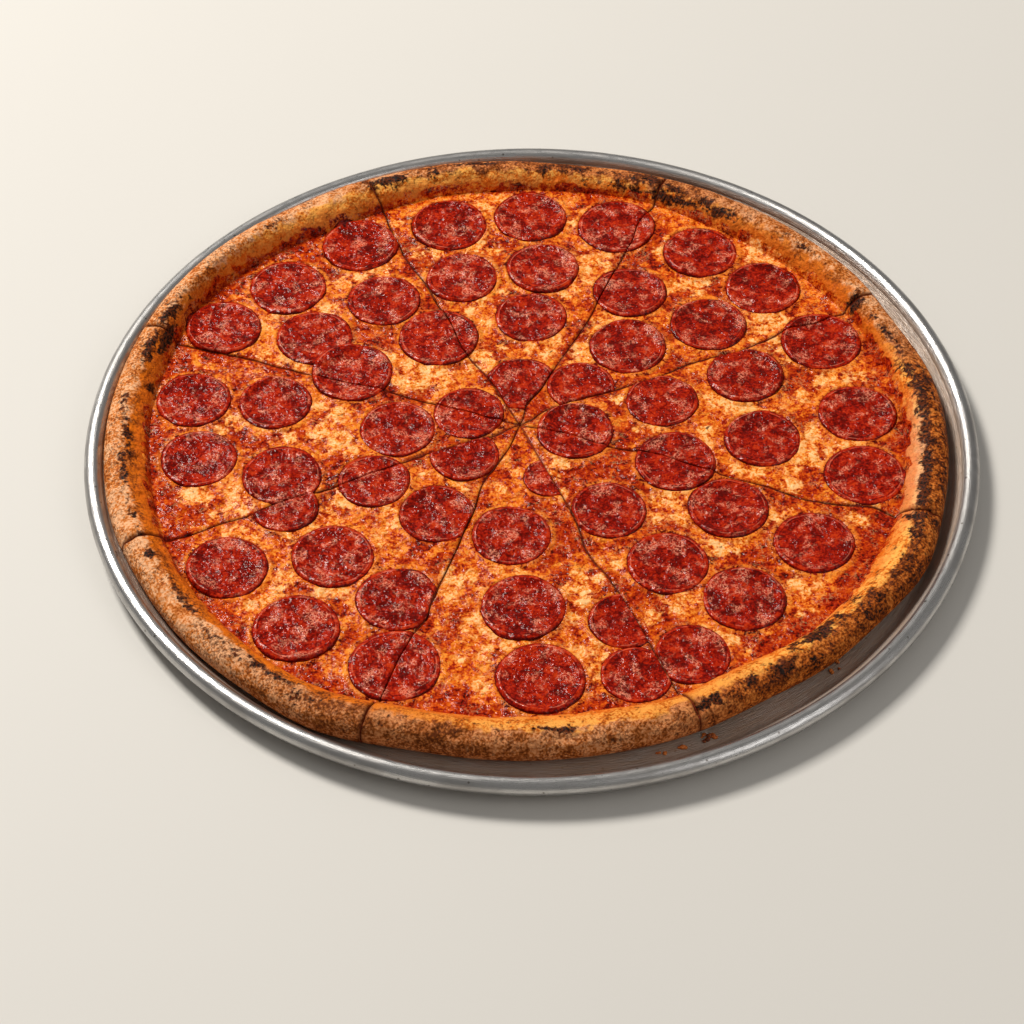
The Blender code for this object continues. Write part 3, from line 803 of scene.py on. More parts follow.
def wall_foot_radius():
    bead_x = BEAD_CENTRE + BEAD_MIDDLE * math.cos(BEAD_START)
    bead_z = BEAD_HEIGHT + BEAD_MIDDLE * math.sin(BEAD_START)
    return bead_x - (bead_z - SHEET / 2) / math.tan(WALL_SLOPE)


def floor_radius():
    return wall_foot_radius() - FLOOR_BEND * math.tan(WALL_SLOPE / 2)


def pan_middle_line():
    """Radius and height along the middle of the sheet, from the floor's rim to the curl's end."""
    points = []
    for step in range(BEND_STEPS + 1):
        turn = WALL_SLOPE * step / BEND_STEPS
        points.append((floor_radius() + FLOOR_BEND * math.sin(turn),
                       SHEET / 2 + FLOOR_BEND * (1 - math.cos(turn))))
    for step in range(BEAD_STEPS + 1):
        turn = BEAD_START - BEAD_SWEEP * step / BEAD_STEPS
        points.append((BEAD_CENTRE + BEAD_MIDDLE * math.cos(turn),
                       BEAD_HEIGHT + BEAD_MIDDLE * math.sin(turn)))
    return points


def offset_line(points, distance):
    """The line moved to its left, with mitred corners; its first point moves straight up."""
    moved = []
    for index, (x, z) in enumerate(points):
        before = points[index - 1] if index else (x - 1.0, z)
        onward = (2 * x - before[0], 2 * z - before[1])
        after = points[index + 1] if index + 1 < len(points) else onward
        angle_in = math.atan2(z - before[1], x - before[0])
        angle_out = math.atan2(after[1] - z, after[0] - x)
        half_turn = math.remainder(angle_out - angle_in, math.tau) / 2
        normal = angle_in + half_turn + math.pi / 2
        reach = distance / math.cos(half_turn)
        moved.append((x + reach * math.cos(normal), z + reach * math.sin(normal)))
    return moved


def pan_material(settings):
    """Spun aluminium: fine rings, a dull film with dark specks, and a painted brownish reflection
    inside.
    """
    material, sheet, shader = new_material("spun_aluminium")
    place = sheet.places()
    parts = sheet.add("ShaderNodeSeparateXYZ", {"Vector": place})
    flat = sheet.add("ShaderNodeCombineXYZ", {"X": parts.outputs[0], "Y": parts.outputs[1]})
    length = sheet.add("ShaderNodeVectorMath", {0: flat.outputs[0]}, operation="LENGTH")
    radius = length.outputs["Value"]
    bearing = sheet.math("ARCTAN2", parts.outputs[1], parts.outputs[0])
    ring = sheet.add("ShaderNodeCombineXYZ", {"X": radius, "Y": sheet.times(bearing, 0.012),
                                              "Z": parts.outputs[2]}).outputs[0]
    streaks = sheet.mottle(ring, 2600.0, *WIDE, 2.0)
    film = sheet.mottle(place, 38.0, 0.42, 0.66, 5.0, 0.4)
    specks = sheet.specks(place, 210.0, 0.16)
    tint = sheet.tint(settings.metal, settings.grime, film, 0.35)
    tint = sheet.tint(tint, settings.grime, streaks, 0.12)
    tint = sheet.tint(tint, settings.grime, specks, 0.7)
    edge = BEAD_CENTRE - BEAD_RADIUS
    inside = sheet.span(radius, edge, edge + 1.5 * MM, 1.0, 0.0)
    # Painted reflection: a brownish tint inside the pan, with less metal, which also lightens the shade
    # there
    dull = sheet.scaled(sheet.mottle(ring, 900.0, *WIDE, 2.0), 0.30, 0.45)
    tint = sheet.tint(tint, settings.painted_reflection, inside, dull)
    sheet.put(shader.inputs["Metallic"], sheet.scaled(inside, -0.55, 1.0))
    rough = sheet.total(((streaks, 0.10), (film, 0.10), (inside, 0.16)))
    bump = sheet.add("ShaderNodeBump", {"Height": streaks, "Distance": 0.2 * MM,
                                        "Strength": sheet.scaled(inside, 0.75, 0.2)})
    sheet.dress(shader, tint, sheet.math("ADD", rough, 0.24), bump.outputs["Normal"])
    return material


class PIZZA_OT_pan(bpy.types.Operator):
    """Build the pan as one finely turned sheet"""

    bl_idname = "pizza.make_pan"
    bl_label = "Make pan"

    def execute(self, context):
        settings = context.scene.pizza_pan
        middle = pan_middle_line()
        profile = offset_line(middle, SHEET / 2) + offset_line(middle, -SHEET / 2)[::-1]
        count = len(profile)
        vertices = []
        for side in range(settings.sides):
            heading = direction(math.tau * side / settings.sides)
            vertices += [(radius * heading[0], radius * heading[1], z) for radius, z in profile]
        faces = []
        for side in range(settings.sides):
            here = side * count
            there = (side + 1) % settings.sides * count
            faces += strip(here, there, count)
        faces.append([side * count for side in range(settings.sides)])
        faces.append([side * count + count - 1 for side in range(settings.sides)])
        pan = new_piece("turned_pan", vertices, faces, [pan_material(settings)],
                        replaces=("pan",))
        face_outward(pan)
        pan.data.set_sharp_from_angle(angle=math.radians(30))
        return {"FINISHED"}


# Slices

def nearest_pepperoni(x, y, number):
    """Distance from points to the edge of the nearest pepperoni on a slice."""
    nearest = np.full(x.shape, 1.0)
    for numbers, centre_x, centre_y, diameter in PEPPERONI:
        if number in numbers:
            gap = np.hypot(x - centre_x * MM, y - centre_y * MM) - diameter / 2 * MM
            nearest = np.minimum(nearest, gap)
    return nearest


def nearest_cut(x, y, number):
    """Distance from points of a slice to the nearer of its two cut sides."""
    tip = slice_tip(number)
    first, second = slice_edges(number)
    left = (y - tip[1]) * math.cos(first) - (x - tip[0]) * math.sin(first)
    right = (x - tip[0]) * math.sin(second) - (y - tip[1]) * math.cos(second)
    return np.maximum(0.0, np.minimum(left, right))


def slice_relief(x, y, cut, number, lump):
    """How far the real surface stands above the plain one, at points some way from the nearer cut."""
    inward, rise, _ = crust_place(x, y)
    bearing = polar(x, y)[1]
    ring = bearing * PIZZA_RADIUS
    on_crust = smooth(rise * 2)
    cheese = lump * lumps(x, y, CHEESE_LUMPS)
    edge = nearest_pepperoni(x, y, number)
    under = smooth(-edge / (2 * MM))
    lip = LIP_HEIGHT * hump(edge, 0.8 * MM, 1.3 * MM) * (0.7 + 0.6 * field(x, y, 7 * MM, 15))
    cheese = cheese * (1 - under) + lip - MEAT_DIP * under
    crust = lumps(ring, inward, CRUST_LUMPS) - CRUST_SINK
    crust -= NOTCH_DEPTH * np.exp(-cut / (1.6 * MM))
    relief = cheese * (1 - on_crust) + crust * on_crust
    relief += CUT_RIDGE * hump(cut, 1.8 * MM, 1.0 * MM) * (0.5 + field(x, y, 9 * MM, 16))
    relief -= CUT_EDGE * np.exp(-cut / (0.5 * MM))
    return relief


def slice_columns(number, settings):
    """Grid of points over a slice: one row of arrays for each column, from tip to underside."""
    first, second = slice_edges(number)
    tip = slice_tip(number)
    columns = []
    for column in range(settings.columns + 1):
        heading = direction(first + (second - first) * column / settings.columns)
        reach = reach_outline(tip, heading)
        width = float(crust_width(polar(*along(tip, heading, reach))[1]))
        cheese = (reach - width) * (np.arange(1, settings.rows + 1) / settings.rows) ** 0.8
        climb = (np.arange(1, SLOPE_ROWS + 1) / SLOPE_ROWS) ** 1.5
        slope = reach - width + (width - CRUST_CREST) * climb
        turn = math.pi / 2 * (1 - np.arange(1, SIDE_ROWS + 1) / SIDE_ROWS)
        side = reach - CRUST_CREST * (1 - np.cos(turn))
        top = np.concatenate((cheese, slope, side))
        turn = math.pi / 2 * np.arange(1, FOOT_ROWS + 1) / FOOT_ROWS
        foot = reach - CRUST_FOOT * (1 - np.cos(turn))
        foot_z = CRUST_WIDEST + (UNDERSIDE - CRUST_WIDEST) * np.sin(turn)
        columns.append((heading, top, foot, foot_z))
    return tip, columns


def slice_mesh(number, settings):
    """Points and faces of a slice, with the count of rows in a column."""
    tip, columns = slice_columns(number, settings)
    vertices = [(*tip, float(seat_height(*tip)) - 0.4 * MM), (*tip, UNDERSIDE)]
    for heading, top, foot, foot_z in columns:
        plain = along(tip, heading, top)
        x, y = bent(*plain)
        relief = slice_relief(x, y, nearest_cut(*plain, number), number, settings.lump)
        fade = smooth(crust_place(x, y)[0] / (5 * MM))
        z = plain_height(x, y) + relief * fade
        foot_x, foot_y = bent(*along(tip, heading, foot))
        places = list(zip(x, y, z)) + list(zip(foot_x, foot_y, foot_z))
        for place_x, place_y, height in places:
            reach = min(1.0, pan_limit(height) / math.hypot(place_x, place_y))
            vertices.append((place_x * reach, place_y * reach, height))
    rows = len(places)
    faces = []
    for column in range(settings.columns):
        here = 2 + column * rows
        there = here + rows
        faces.append((0, here, there))
        faces.append((1, there + rows - 1, here + rows - 1))
        faces += strip(here, there, rows)
    last = 2 + settings.columns * rows
    faces.append([0, *range(2, 2 + rows), 1][::-1])
    faces.append([0, *range(last, last + rows), 1])
    return vertices, faces


def paint_slice(obj, number):
    """Stores the masks that the slice's material reads."""
    count = len(obj.data.vertices)
    flat = np.empty(count * 3)
    obj.data.vertices.foreach_get("co", flat)
    x, y, z = flat.reshape(-1, 3).T
    inward, rise, _ = crust_place(x, y)
    bearing = polar(x, y)[1]
    width = crust_width(bearing)
    border = BORDER + bulges(bearing, BORDER_BULGES)
    below = (z < CRUST_WIDEST - 0.5 * MM) & (inward < CRUST_CREST)
    keep_values(obj, "slope", np.where(below, 1.0, rise))
    outside = np.clip((border - inward) / CRUST_CREST, -1, 1)
    keep_values(obj, "outside", np.where(below, 1.0, outside))
    gap = nearest_pepperoni(x, y, number)
    lip = hump(gap, 1.1 * MM, 1.2 * MM) * (0.5 + 0.5 * field(x, y, 9 * MM, 17))
    keep_values(obj, "lip", lip)
    # Sauce at the foot of the crust, partly painted shade
    strength = RING + bulges(bearing, SAUCE_AND_SHADE_BULGES)
    keep_values(obj, "sauce_and_shade_ring", strength * hump(inward - width, 4 * MM, 7 * MM))
    # Painted light on the crust's inner side
    keep_values(obj, "painted_light", bulges(bearing, PAINTED_LIGHT_BULGES))
    # Painted shade along the cuts: the cheese and crust darken towards them
    cut = nearest_cut(*straightened(x, y), number)
    keep_values(obj, "cut", np.exp(-cut / ((0.5 + 0.6 * rise) * MM)))
    cream = np.zeros(count)
    for patch_x, patch_y, size in CREAM_PATCHES:
        away = np.hypot(x - patch_x * MM, y - patch_y * MM) / (size * MM)
        cream = np.maximum(cream, np.exp(-away ** 2))
    keep_values(obj, "cream", cream)
    char = np.zeros(count)
    for middle, depth, length, breadth, strength in CHAR_MARKS:
        turn = turned(bearing, middle) * PIZZA_RADIUS
        away = (turn / (length * MM)) ** 2 + ((inward - depth * MM) / (breadth * MM)) ** 2
        char = np.maximum(char, strength * np.exp(-away))
    keep_values(obj, "char", np.where(below, 0.0, char))
    keep_values(obj, "bake", BAKE + bulges(bearing, BAKE_BULGES))
    keep_places(obj, "ring_place", np.column_stack((bearing * PIZZA_RADIUS, inward, z)))


def cheese_colour(sheet, place, settings):
    """Colour and wetness of the cheese: red wet zones, cream patches, dark veins, golden lips, painted
    shade along the cuts and painted glints.
    """
    fine = sheet.layers(place, ((130.0, 2.0, 0.8, 0.32), (360.0, 2.0, 0.6, 0.40),
                                (950.0, 1.0, 0.0, 0.28)))
    colour = sheet.ramp(fine, ((0.20, settings.sauce), (0.34, settings.rust), (0.54, settings.orange),
                               (0.84, settings.gold)))
    ring = sheet.attribute("sauce_and_shade_ring")
    ragged = sheet.layers(place, ((75.0, 2.0, 1.2, 0.45), (260.0, 3.0, 1.0, 0.55)))
    patch = sheet.total(((sheet.attribute("cream"), 0.62), (ragged, 0.62), (ring, -0.2)))
    wet = sheet.total(((sheet.mottle(place, 48.0, 0.42, 0.56, 4.0, 0.8), 1.0), (patch, -0.9),
                       (ring, 0.8)))
    wet = sheet.span(wet, 0.05, 0.45)
    soaked = sheet.ramp(fine, ((0.18, settings.burnt), (0.36, settings.sauce), (0.62, settings.rust),
                               (0.90, settings.orange)))
    colour = sheet.mix(wet, colour, soaked)
    pale = sheet.ramp(fine, ((0.16, settings.rust), (0.30, settings.orange), (0.46, settings.gold),
                             (0.70, settings.cream)))
    colour = sheet.mix(sheet.span(patch, 0.52, 0.82), colour, pale)
    lip = sheet.times(sheet.attribute("lip"), sheet.span(fine, 0.25, 0.55))
    colour = sheet.tint(colour, settings.gold, lip, 0.8)
    veins = sheet.times(sheet.veins(place, 150.0, 0.02), sheet.span(patch, 0.8, 0.5))
    colour = sheet.tint(colour, settings.sauce, veins, 0.7)
    # Browned spots, and painted shade along the cuts
    spots = sheet.mottle(place, 130.0, 0.69, 0.76, 3.0, 0.5)
    dark = sheet.math("MAXIMUM", spots, sheet.attribute("cut"))
    colour = sheet.tint(colour, settings.burnt, dark, 0.85)
    # Painted glints: thin cream lines in patches
    bright = sheet.times(sheet.veins(place, 420.0, 0.05), sheet.mottle(place, 110.0, 0.48, 0.60))
    return sheet.tint(colour, settings.cream, bright, 0.30), wet


def crust_colour(sheet, place, settings):
    """Floured tan outside, speckled crest, golden inner side with painted light, browner to the right
    and front, and painted shade along the cuts.
    """
    ring = sheet.attribute("ring_place", "Vector")
    value = sheet.layers(ring, ((45.0, 3.0, 0.3, 0.26), (190.0, 3.0, 0.3, 0.34),
                                (750.0, 2.0, 0.0, 0.40)))
    pale_side = sheet.ramp(value, ((0.20, settings.baked), (0.38, settings.tan),
                                   (0.66, settings.dough)))
    brown_side = sheet.ramp(value, ((0.20, settings.char), (0.32, settings.brown),
                                    (0.52, settings.baked), (0.76, settings.tan)))
    outer = sheet.mix(sheet.span(sheet.attribute("bake"), 0.10, 0.80), pale_side, brown_side)
    deep_inner = sheet.ramp(value, ((0.18, settings.brown), (0.36, settings.baked),
                                    (0.66, settings.golden)))
    painted_lit_inner = sheet.ramp(value, ((0.14, settings.baked), (0.32, settings.golden),
                                    (0.60, settings.lip)))
    # Painted light on the inner side: a paler copy of its colours, and at the strongest places the
    # dough colour
    painted_light = sheet.attribute("painted_light")
    inner = sheet.mix(sheet.span(painted_light, 0.0, 0.9), deep_inner, painted_lit_inner)
    inner = sheet.mix(sheet.span(painted_light, 1.0, 1.8, 0.0, 0.7), inner, settings.dough)
    foot = sheet.total(((sheet.attribute("slope"), 1.0), (sheet.mottle(ring, 160.0, *WIDE), 0.25)))
    inner = sheet.mix(sheet.span(foot, 0.75, 0.38, 0.0, 0.6), inner, settings.orange)
    side = sheet.total(((sheet.attribute("outside"), 1.0),
                        (sheet.mottle(ring, 130.0, *WIDE, 4.0, 0.5), 0.5)))
    colour = sheet.mix(sheet.span(side, 0.08, 0.42), inner, outer)
    rough = sheet.span(side, 0.0, 0.6, 0.25, 1.0)
    speckle = sheet.times(sheet.mottle(place, 900.0, 0.49, 0.58, 2.0),
                          sheet.mottle(ring, 70.0, 0.34, 0.54))
    colour = sheet.tint(colour, settings.brown, sheet.times(speckle, rough), 0.65)
    # Painted shade along the cuts
    colour = sheet.tint(colour, settings.brown, sheet.attribute("cut"), 0.9)
    ragged = sheet.total(((sheet.mottle(ring, 120.0, *WIDE, 4.0, 0.6), 0.45),
                          (sheet.mottle(ring, 480.0, *WIDE, 3.0, 0.3), 0.45),
                          (sheet.attribute("char"), 0.8)))
    scorched = sheet.mix(sheet.mottle(place, 800.0, 0.4, 0.6, 1.0), settings.char, settings.brown)
    return sheet.mix(sheet.span(ragged, 0.62, 1.00), colour, scorched)


def slice_material(settings):
    """Melted cheese over sauce that runs up into the baked crust."""
    material, sheet, shader = new_material("cheese_and_crust")
    place = sheet.places()
    ragged = sheet.times(sheet.mottle(place, 130.0, *WIDE), 0.25)
    crust = sheet.span(sheet.math("ADD", sheet.attribute("slope"), ragged), 0.26, 0.34)
    cheese, wet = cheese_colour(sheet, place, settings)
    colour = sheet.mix(crust, cheese, crust_colour(sheet, place, settings))
    gloss = sheet.mottle(place, 210.0, 0.35, 0.65, 2.0)
    rough = sheet.math("ADD", sheet.total(((wet, -0.08), (gloss, -0.10), (crust, 0.45))), 0.30)
    broad = sheet.grain(place, 170.0, 1.6 * MM)
    sheet.dress(shader, colour, rough, sheet.grain(place, 520.0, 0.7 * MM, broad))
    shader.inputs["Specular IOR Level"].default_value = OILY_SPECULAR
    return material


def crumb_material(settings):
    """Open crumb at the cut sides, below a layer of sauce and cheese."""
    material, sheet, shader = new_material("cut_dough")
    place = sheet.places()
    height = sheet.add("ShaderNodeSeparateXYZ", {"Vector": place}).outputs[2]
    layer = sheet.span(height, CHEESE_TOP - 3.2 * MM, CHEESE_TOP - 2.4 * MM)
    colour = sheet.mix(layer, settings.crumb, settings.sauce)
    holes = sheet.mottle(place, 700.0, 0.45, 0.6, 4.0)
    colour = sheet.tint(colour, settings.baked, holes, 0.5)
    sheet.dress(shader, colour, 0.75, sheet.grain(place, 900.0, 0.5 * MM))
    return material


class PIZZA_OT_slices(bpy.types.Operator):
    """Build the slices with their cheese, sauce and browned crust"""

    bl_idname = "pizza.make_slices"
    bl_label = "Make slices"

    def execute(self, context):
        settings = context.scene.pizza_slices
        top, side = slice_material(settings), crumb_material(settings)
        for number in range(1, len(CUT_BEARINGS) + 1):
            vertices, faces = slice_mesh(number, settings)
            obj = new_piece(f"baked_slice_{number}", vertices, faces, [top, side],
                            replaces=(f"slice_{number}",))
            for face in obj.data.polygons[-2:]:
                face.material_index = 1
            face_outward(obj)
            obj.data.set_sharp_from_angle(angle=math.radians(60))
            paint_slice(obj, number)
        return {"FINISHED"}


# Crumbs

def crumb_lump(random, place, size):
    """Points and faces of one uneven crumb that lies at a place."""
    bm = bmesh.new()
    bmesh.ops.create_icosphere(bm, subdivisions=2, radius=size)
    stretch = random.uniform(0.7, 1.4, 3)
    phases = random.uniform(0, math.tau, 3)
    vertices = []
    for vertex in bm.verts:
        x, y, z = (vertex.co[axis] * stretch[axis] for axis in range(3))
        ripple = math.sin(3 * vertex.co.x / size + phases[0])
        ripple *= math.cos(4 * vertex.co.y / size + phases[1])
        swell = 1 + 0.18 * ripple
        vertices.append((place[0] + x * swell, place[1] + y * swell, place[2] + z * swell * 0.7))
    faces = [[corner.index for corner in face.verts] for face in bm.faces]
    bm.free()
    return vertices, faces


def crumbs_material(settings):
    """Browned crumbs, each a shade of its own, with a fine grain."""
    material, sheet, shader = new_material("browned_crumbs")
    place = sheet.places()
    value = sheet.layers(place, ((160.0, 1.0, 0.0, 0.6), (900.0, 2.0, 0.0, 0.4)))
    colour = sheet.ramp(value, ((0.12, settings.brown), (0.35, settings.baked), (0.70, settings.tan)))
    sheet.dress(shader, colour, 0.6, sheet.grain(place, 900.0, 0.4 * MM))
    return material


class PIZZA_OT_crumbs(bpy.types.Operator):
    """Scatter the crumbs that fell on the pan's floor"""

    bl_idname = "pizza.make_crumbs"
    bl_label = "Make crumbs"

    def execute(self, context):
        settings = context.scene.pizza_crumbs
        random = np.random.default_rng(77)
        vertices, faces = [], []
        for middle_x, middle_y, spread in CRUMB_PLACES:
            for _ in range(settings.count):
                x, y = np.array((middle_x, middle_y)) * MM + random.normal(0, spread * MM / 2, 2)
                size = settings.size * random.uniform(0.4, 1.0)
                if math.hypot(x, y) + 2 * size > floor_radius():
                    continue
                points, sides = crumb_lump(random, (x, y, SHEET + size * 0.6), size)
                faces += [[corner + len(vertices) for corner in side] for side in sides]
                vertices += points
        new_piece("fallen_crumbs", vertices, faces, [crumbs_material(context.scene.pizza_slices)])
        return {"FINISHED"}


# Pepperoni

def disc_outline(index, centre, radius):
    """A slightly uneven circle."""
    random = np.random.default_rng(100 + index)
    phases = random.uniform(0, math.tau, 4)
    points = []
    for step in range(DISC_STEPS):
        turn = math.tau * step / DISC_STEPS
        uneven = sum(height * math.sin(count * turn + phase) for count, height, phase
                     in zip((2, 3, 4, 7), (0.012, 0.010, 0.006, 0.004), phases))
        points.append(along(centre, direction(turn), radius * (1 + uneven)))
    return points


def neighbours(index):
    """Every other pepperoni that shares a slice: its place in the list, centre, radius and overlap."""
    numbers, centre_x, centre_y, diameter = PEPPERONI[index]
    for other, (other_numbers, x, y, size) in enumerate(PEPPERONI):
        if other != index and set(other_numbers) & set(numbers):
            overlap = (size + diameter) / 2 - math.hypot(x - centre_x, y - centre_y)
            yield other, (x * MM, y * MM), size / 2 * MM, overlap * MM


def overlap_lift(x, y, index):
    """How far a pepperoni is lifted where it lies over an earlier one."""
    lift = np.zeros(np.shape(x))
    for other, centre, radius, overlap in neighbours(index):
        if other < index and overlap > TOUCH:
            away = np.hypot(x - centre[0], y - centre[1]) - radius
            lift = np.maximum(lift, 1.5 * MM * smooth(1 - (away + 1 * MM) / (5 * MM)))
    return lift


def clip_touching(outline, index, centre, radius):
    """The outline without what a pepperoni that only touches it pushes aside."""
    for _, other, other_radius, overlap in neighbours(index):
        if 0 < overlap <= TOUCH:
            apart = math.dist(centre, other)
            reach = (apart ** 2 + radius ** 2 - other_radius ** 2) / (2 * apart) - 0.1 * MM
            heading = ((other[0] - centre[0]) / apart, (other[1] - centre[1]) / apart)
            outline = clip(outline, along(centre, heading, reach), (-heading[0], -heading[1]))
    return outline


def pepperoni_mesh(index, number, settings):
    """Points and faces of the piece of a pepperoni that lies on one slice, and its rim values."""
    _, centre_x, centre_y, diameter = PEPPERONI[index]
    centre = (centre_x * MM, centre_y * MM)
    radius = diameter / 2 * MM
    outline = clip_touching(disc_outline(index, centre, radius), index, centre, radius)
    outline = list(zip(*(part.tolist() for part in straightened(*np.array(outline).T))))
    first, second = slice_edges(number)
    tip = slice_tip(number)
    for bearing, side in ((first, 1), (second, -1)):
        outline = clip(outline, tip, direction(bearing + side * math.pi / 2))
    outline = resample(outline, 1.3 * MM)
    middle = np.array(centroid(outline))
    ring = np.array(outline)
    random = np.random.default_rng(500 + index)
    tilt, warp = random.uniform(0, math.tau, 2)
    curl = settings.cup * random.uniform(0.4, 1.5)

    def height(points, above):
        x, y = bent(*points.T)
        share = np.hypot(x - centre[0], y - centre[1]) / radius
        turn = np.arctan2(y - centre[1], x - centre[0])
        z = seat_height(x, y) + overlap_lift(x, y, index) + above
        uneven = 0.75 + 0.5 * np.sin(turn + tilt) + 0.3 * np.sin(2 * turn + warp)
        z += curl * uneven * hump(share, RIDGE, 0.10)
        z += lumps(x, y, MEAT_LUMPS)
        return np.column_stack((x, y, z))

    levels = [(share, settings.thickness) for share in np.linspace(0.05, RIDGE, 22)]
    levels += [(share, part * settings.thickness) for share, part in EDGE_LEVELS]
    levels.append((0.99, -RIM_SINK))
    places = [height(middle[None], settings.thickness)]
    places += [height(middle + (ring - middle) * share, above) for share, above in levels]
    places.append(height(middle[None], -MIDDLE_SINK))
    vertices = np.concatenate(places)
    count = len(outline)
    faces = []
    for step in range(count):
        after = (step + 1) % count
        faces.append((0, 1 + step, 1 + after))
        for row in range(len(levels) - 1):
            low, high = 1 + row * count, 1 + (row + 1) * count
            faces.append((low + step, high + step, high + after, low + after))
        base = 1 + (len(levels) - 1) * count
        faces.append((base + after, base + step, len(vertices) - 1))
    rim = np.hypot(vertices[:, 0] - centre[0], vertices[:, 1] - centre[1]) / radius
    return vertices, faces, rim


def pepperoni_material(settings):
    """Oily cured meat from dark to bright red, with a thin dark edge, painted glints in patches,
    a painted highlight on the rim's crest and painted shade just inside it.
    """
    material, sheet, shader = new_material("cured_meat")
    place = sheet.places()
    rim = sheet.attribute("rim")
    band = sheet.math("SUBTRACT", sheet.span(rim, 0.86, 0.91), sheet.span(rim, 0.955, 0.985))
    # Painted shade: a broken dark line just inside the rim's crest
    painted_groove_shade = sheet.math("SUBTRACT", sheet.span(rim, 0.835, 0.86), sheet.span(rim, 0.86, 0.885))
    crest = sheet.math("SUBTRACT", sheet.span(rim, 0.88, 0.90), sheet.span(rim, 0.90, 0.92))
    broken = sheet.mottle(place, 110.0, 0.40, 0.58, 2.0, 0.5)
    meat = sheet.layers(place, ((95.0, 2.0, 0.8, 0.34), (290.0, 2.0, 0.6, 0.33),
                                (850.0, 1.0, 0.0, 0.33)))
    value = sheet.total(((meat, 1.0), (band, 0.06), (sheet.span(rim, 0.955, 0.99), -0.30),
                         (sheet.times(painted_groove_shade, broken), -0.30)))
    colour = sheet.ramp(value, ((0.18, settings.dark), (0.38, settings.deep), (0.60, settings.red),
                                (0.86, settings.bright)))
    # Painted highlight: a broken pale line along the rim's crest
    line = sheet.times(crest, sheet.mottle(place, 160.0, 0.46, 0.56, 2.0))
    colour = sheet.tint(colour, settings.glint, line, 0.35)
    veins = sheet.times(sheet.veins(place, 240.0, 0.02), sheet.span(rim, 0.90, 0.80))
    colour = sheet.tint(colour, settings.dark, veins, 0.5)
    # Painted glints: pale specks and short lines in patches, over a faint painted sheen
    painted_glint_patches = sheet.times(sheet.mottle(place, 130.0, 0.50, 0.66, 2.0, 0.5),
                           sheet.span(rim, 0.97, 0.92))
    painted_glint_strokes = sheet.math("MAXIMUM", sheet.specks(place, 900.0, 0.40),
                         sheet.veins(place, 460.0, 0.06))
    colour = sheet.tint(colour, settings.glint, painted_glint_patches, 0.05)
    colour = sheet.tint(colour, settings.glint, sheet.times(painted_glint_strokes, painted_glint_patches), 0.80)
    rough = sheet.scaled(sheet.mottle(place, 190.0, 0.35, 0.65, 2.0), -0.08, 0.22)
    broad = sheet.grain(place, 190.0, 1.5 * MM)
    depth = sheet.span(band, 0.0, 1.0, 0.7 * MM, 0.25 * MM)
    sheet.dress(shader, colour, rough, sheet.grain(place, 560.0, depth, broad))
    shader.inputs["Specular IOR Level"].default_value = OILY_SPECULAR
    return material


class PIZZA_OT_pepperoni(bpy.types.Operator):
    """Lay every pepperoni, cut where the slices are cut"""

    bl_idname = "pizza.make_pepperoni"
    bl_label = "Make pepperoni"

    def execute(self, context):
        settings = context.scene.pizza_pepperoni
        material = pepperoni_material(settings)
        for index, disc in enumerate(PEPPERONI):
            for part, number in enumerate(disc[0]):
                vertices, faces, rim = pepperoni_mesh(index, number, settings)
                suffix = "ab"[part] if len(disc[0]) > 1 else ""
                node = f"pepperoni_{index + 1:02d}{suffix}"
                stands_for = (node,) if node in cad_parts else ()
                obj = new_piece(f"cured_{node}", vertices, faces, [material],
                                replaces=stands_for)
                keep_values(obj, "rim", rim)
        return {"FINISHED"}


# Stage

def add_light(name, place, size, power, colour):
    """A soft square light that points at the pizza."""
    light = bpy.data.lights.new(name, "AREA")
    light.size = size
    light.energy = power
    light.color = colour
    lamp = bpy.data.objects.new(name, light)
    lamp.location = place
    lamp.rotation_euler = (Vector(LIGHT_AIM) - Vector(place)).to_track_quat("-Z", "Y").to_euler()
    bpy.context.scene.collection.objects.link(lamp)


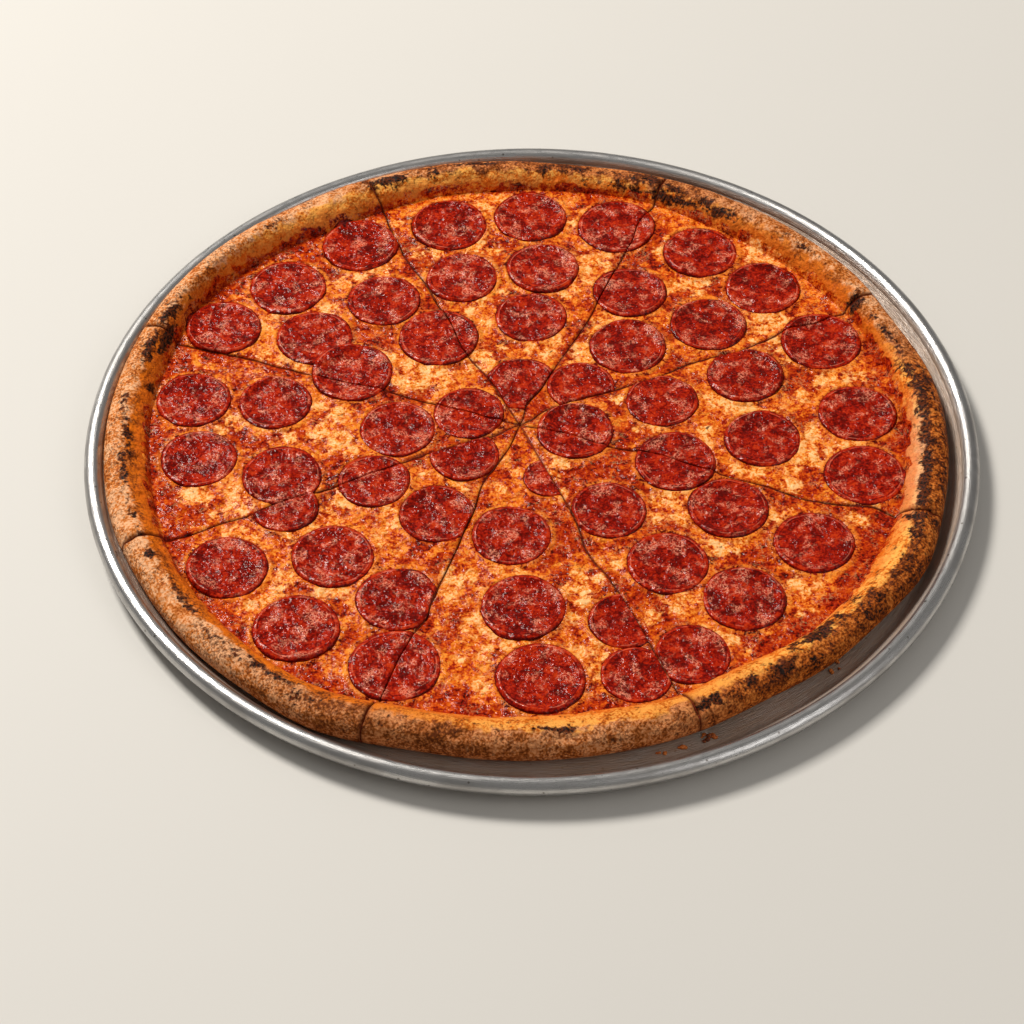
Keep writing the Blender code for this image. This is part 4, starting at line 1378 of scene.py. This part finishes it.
class PIZZA_OT_stage(bpy.types.Operator):
    """Set the pale floor, the soft lights and the camera"""

    bl_idname = "pizza.make_stage"
    bl_label = "Make stage"

    def execute(self, context):
        settings = context.scene.pizza_stage
        mesh = bpy.data.meshes.new("floor")
        corners = ((-1, -1), (1, -1), (1, 1), (-1, 1))
        mesh.from_pydata([(x * FLOOR_HALF, y * FLOOR_HALF, 0) for x, y in corners], [], [(0, 1, 2, 3)])
        floor = bpy.data.objects.new("floor", mesh)
        floor.location.z = -FLOOR_DROP
        context.scene.collection.objects.link(floor)
        material, sheet, shader = new_material("pale_floor")
        soft = sheet.mottle(sheet.places(), 3.0, *WIDE)
        tint = sheet.tint(settings.floor, (0.5, 0.48, 0.46), soft, 0.04)
        sheet.dress(shader, tint, 0.6)
        mesh.materials.append(material)
        add_light("key", KEY_PLACE, KEY_SIZE, settings.key_power, KEY_COLOUR)
        add_light("fill", FILL_PLACE, FILL_SIZE, settings.fill_power, FILL_COLOUR)
        world = bpy.data.worlds.new("studio")
        world.use_nodes = True
        back = world.node_tree.nodes["Background"]
        back.inputs["Color"].default_value = AMBIENT_COLOUR
        back.inputs["Strength"].default_value = settings.ambient
        context.scene.world = world
        camera = bpy.data.objects.new("camera", bpy.data.cameras.new("camera"))
        camera.data.lens = CAMERA_LENS
        back_off = Vector((0, -math.cos(CAMERA_ELEVATION), math.sin(CAMERA_ELEVATION)))
        camera.location = Vector(CAMERA_AIM) + back_off * CAMERA_DISTANCE
        camera.rotation_euler = (math.pi / 2 - CAMERA_ELEVATION, 0, 0)
        context.scene.collection.objects.link(camera)
        context.scene.camera = camera
        context.scene.view_settings.view_transform = "Standard"
        return {"FINISHED"}


class PIZZA_PT_panel(bpy.types.Panel):
    """Sizes, colours and steps of the pizza"""

    bl_idname = "PIZZA_PT_panel"
    bl_label = "Pizza"
    bl_space_type = "VIEW_3D"
    bl_region_type = "UI"
    bl_category = "Pizza"

    def draw(self, context):
        for name, step in GROUPS:
            box = self.layout.box()
            settings = getattr(context.scene, name)
            for key in settings.__annotations__:
                box.prop(settings, key)
            box.operator(step.bl_idname)


GROUPS = (("pizza_pan", PIZZA_OT_pan), ("pizza_slices", PIZZA_OT_slices),
          ("pizza_pepperoni", PIZZA_OT_pepperoni), ("pizza_crumbs", PIZZA_OT_crumbs),
          ("pizza_stage", PIZZA_OT_stage))
SETTINGS = (("pizza_pan", PanSettings), ("pizza_slices", SliceSettings),
            ("pizza_pepperoni", PepperoniSettings), ("pizza_crumbs", CrumbSettings),
            ("pizza_stage", StageSettings))


def register():
    for name, group in SETTINGS:
        bpy.utils.register_class(group)
        setattr(bpy.types.Scene, name, PointerProperty(type=group))
    for _, step in GROUPS:
        bpy.utils.register_class(step)
    bpy.utils.register_class(PIZZA_PT_panel)


def unregister():
    bpy.utils.unregister_class(PIZZA_PT_panel)
    for _, step in reversed(GROUPS):
        bpy.utils.unregister_class(step)
    for name, group in reversed(SETTINGS):
        delattr(bpy.types.Scene, name)
        bpy.utils.unregister_class(group)


def main():
    register()
    bpy.ops.pizza.make_pan()
    bpy.ops.pizza.make_slices()
    bpy.ops.pizza.make_pepperoni()
    bpy.ops.pizza.make_crumbs()
    bpy.ops.pizza.make_stage()


if __name__ == "__main__":
    main()
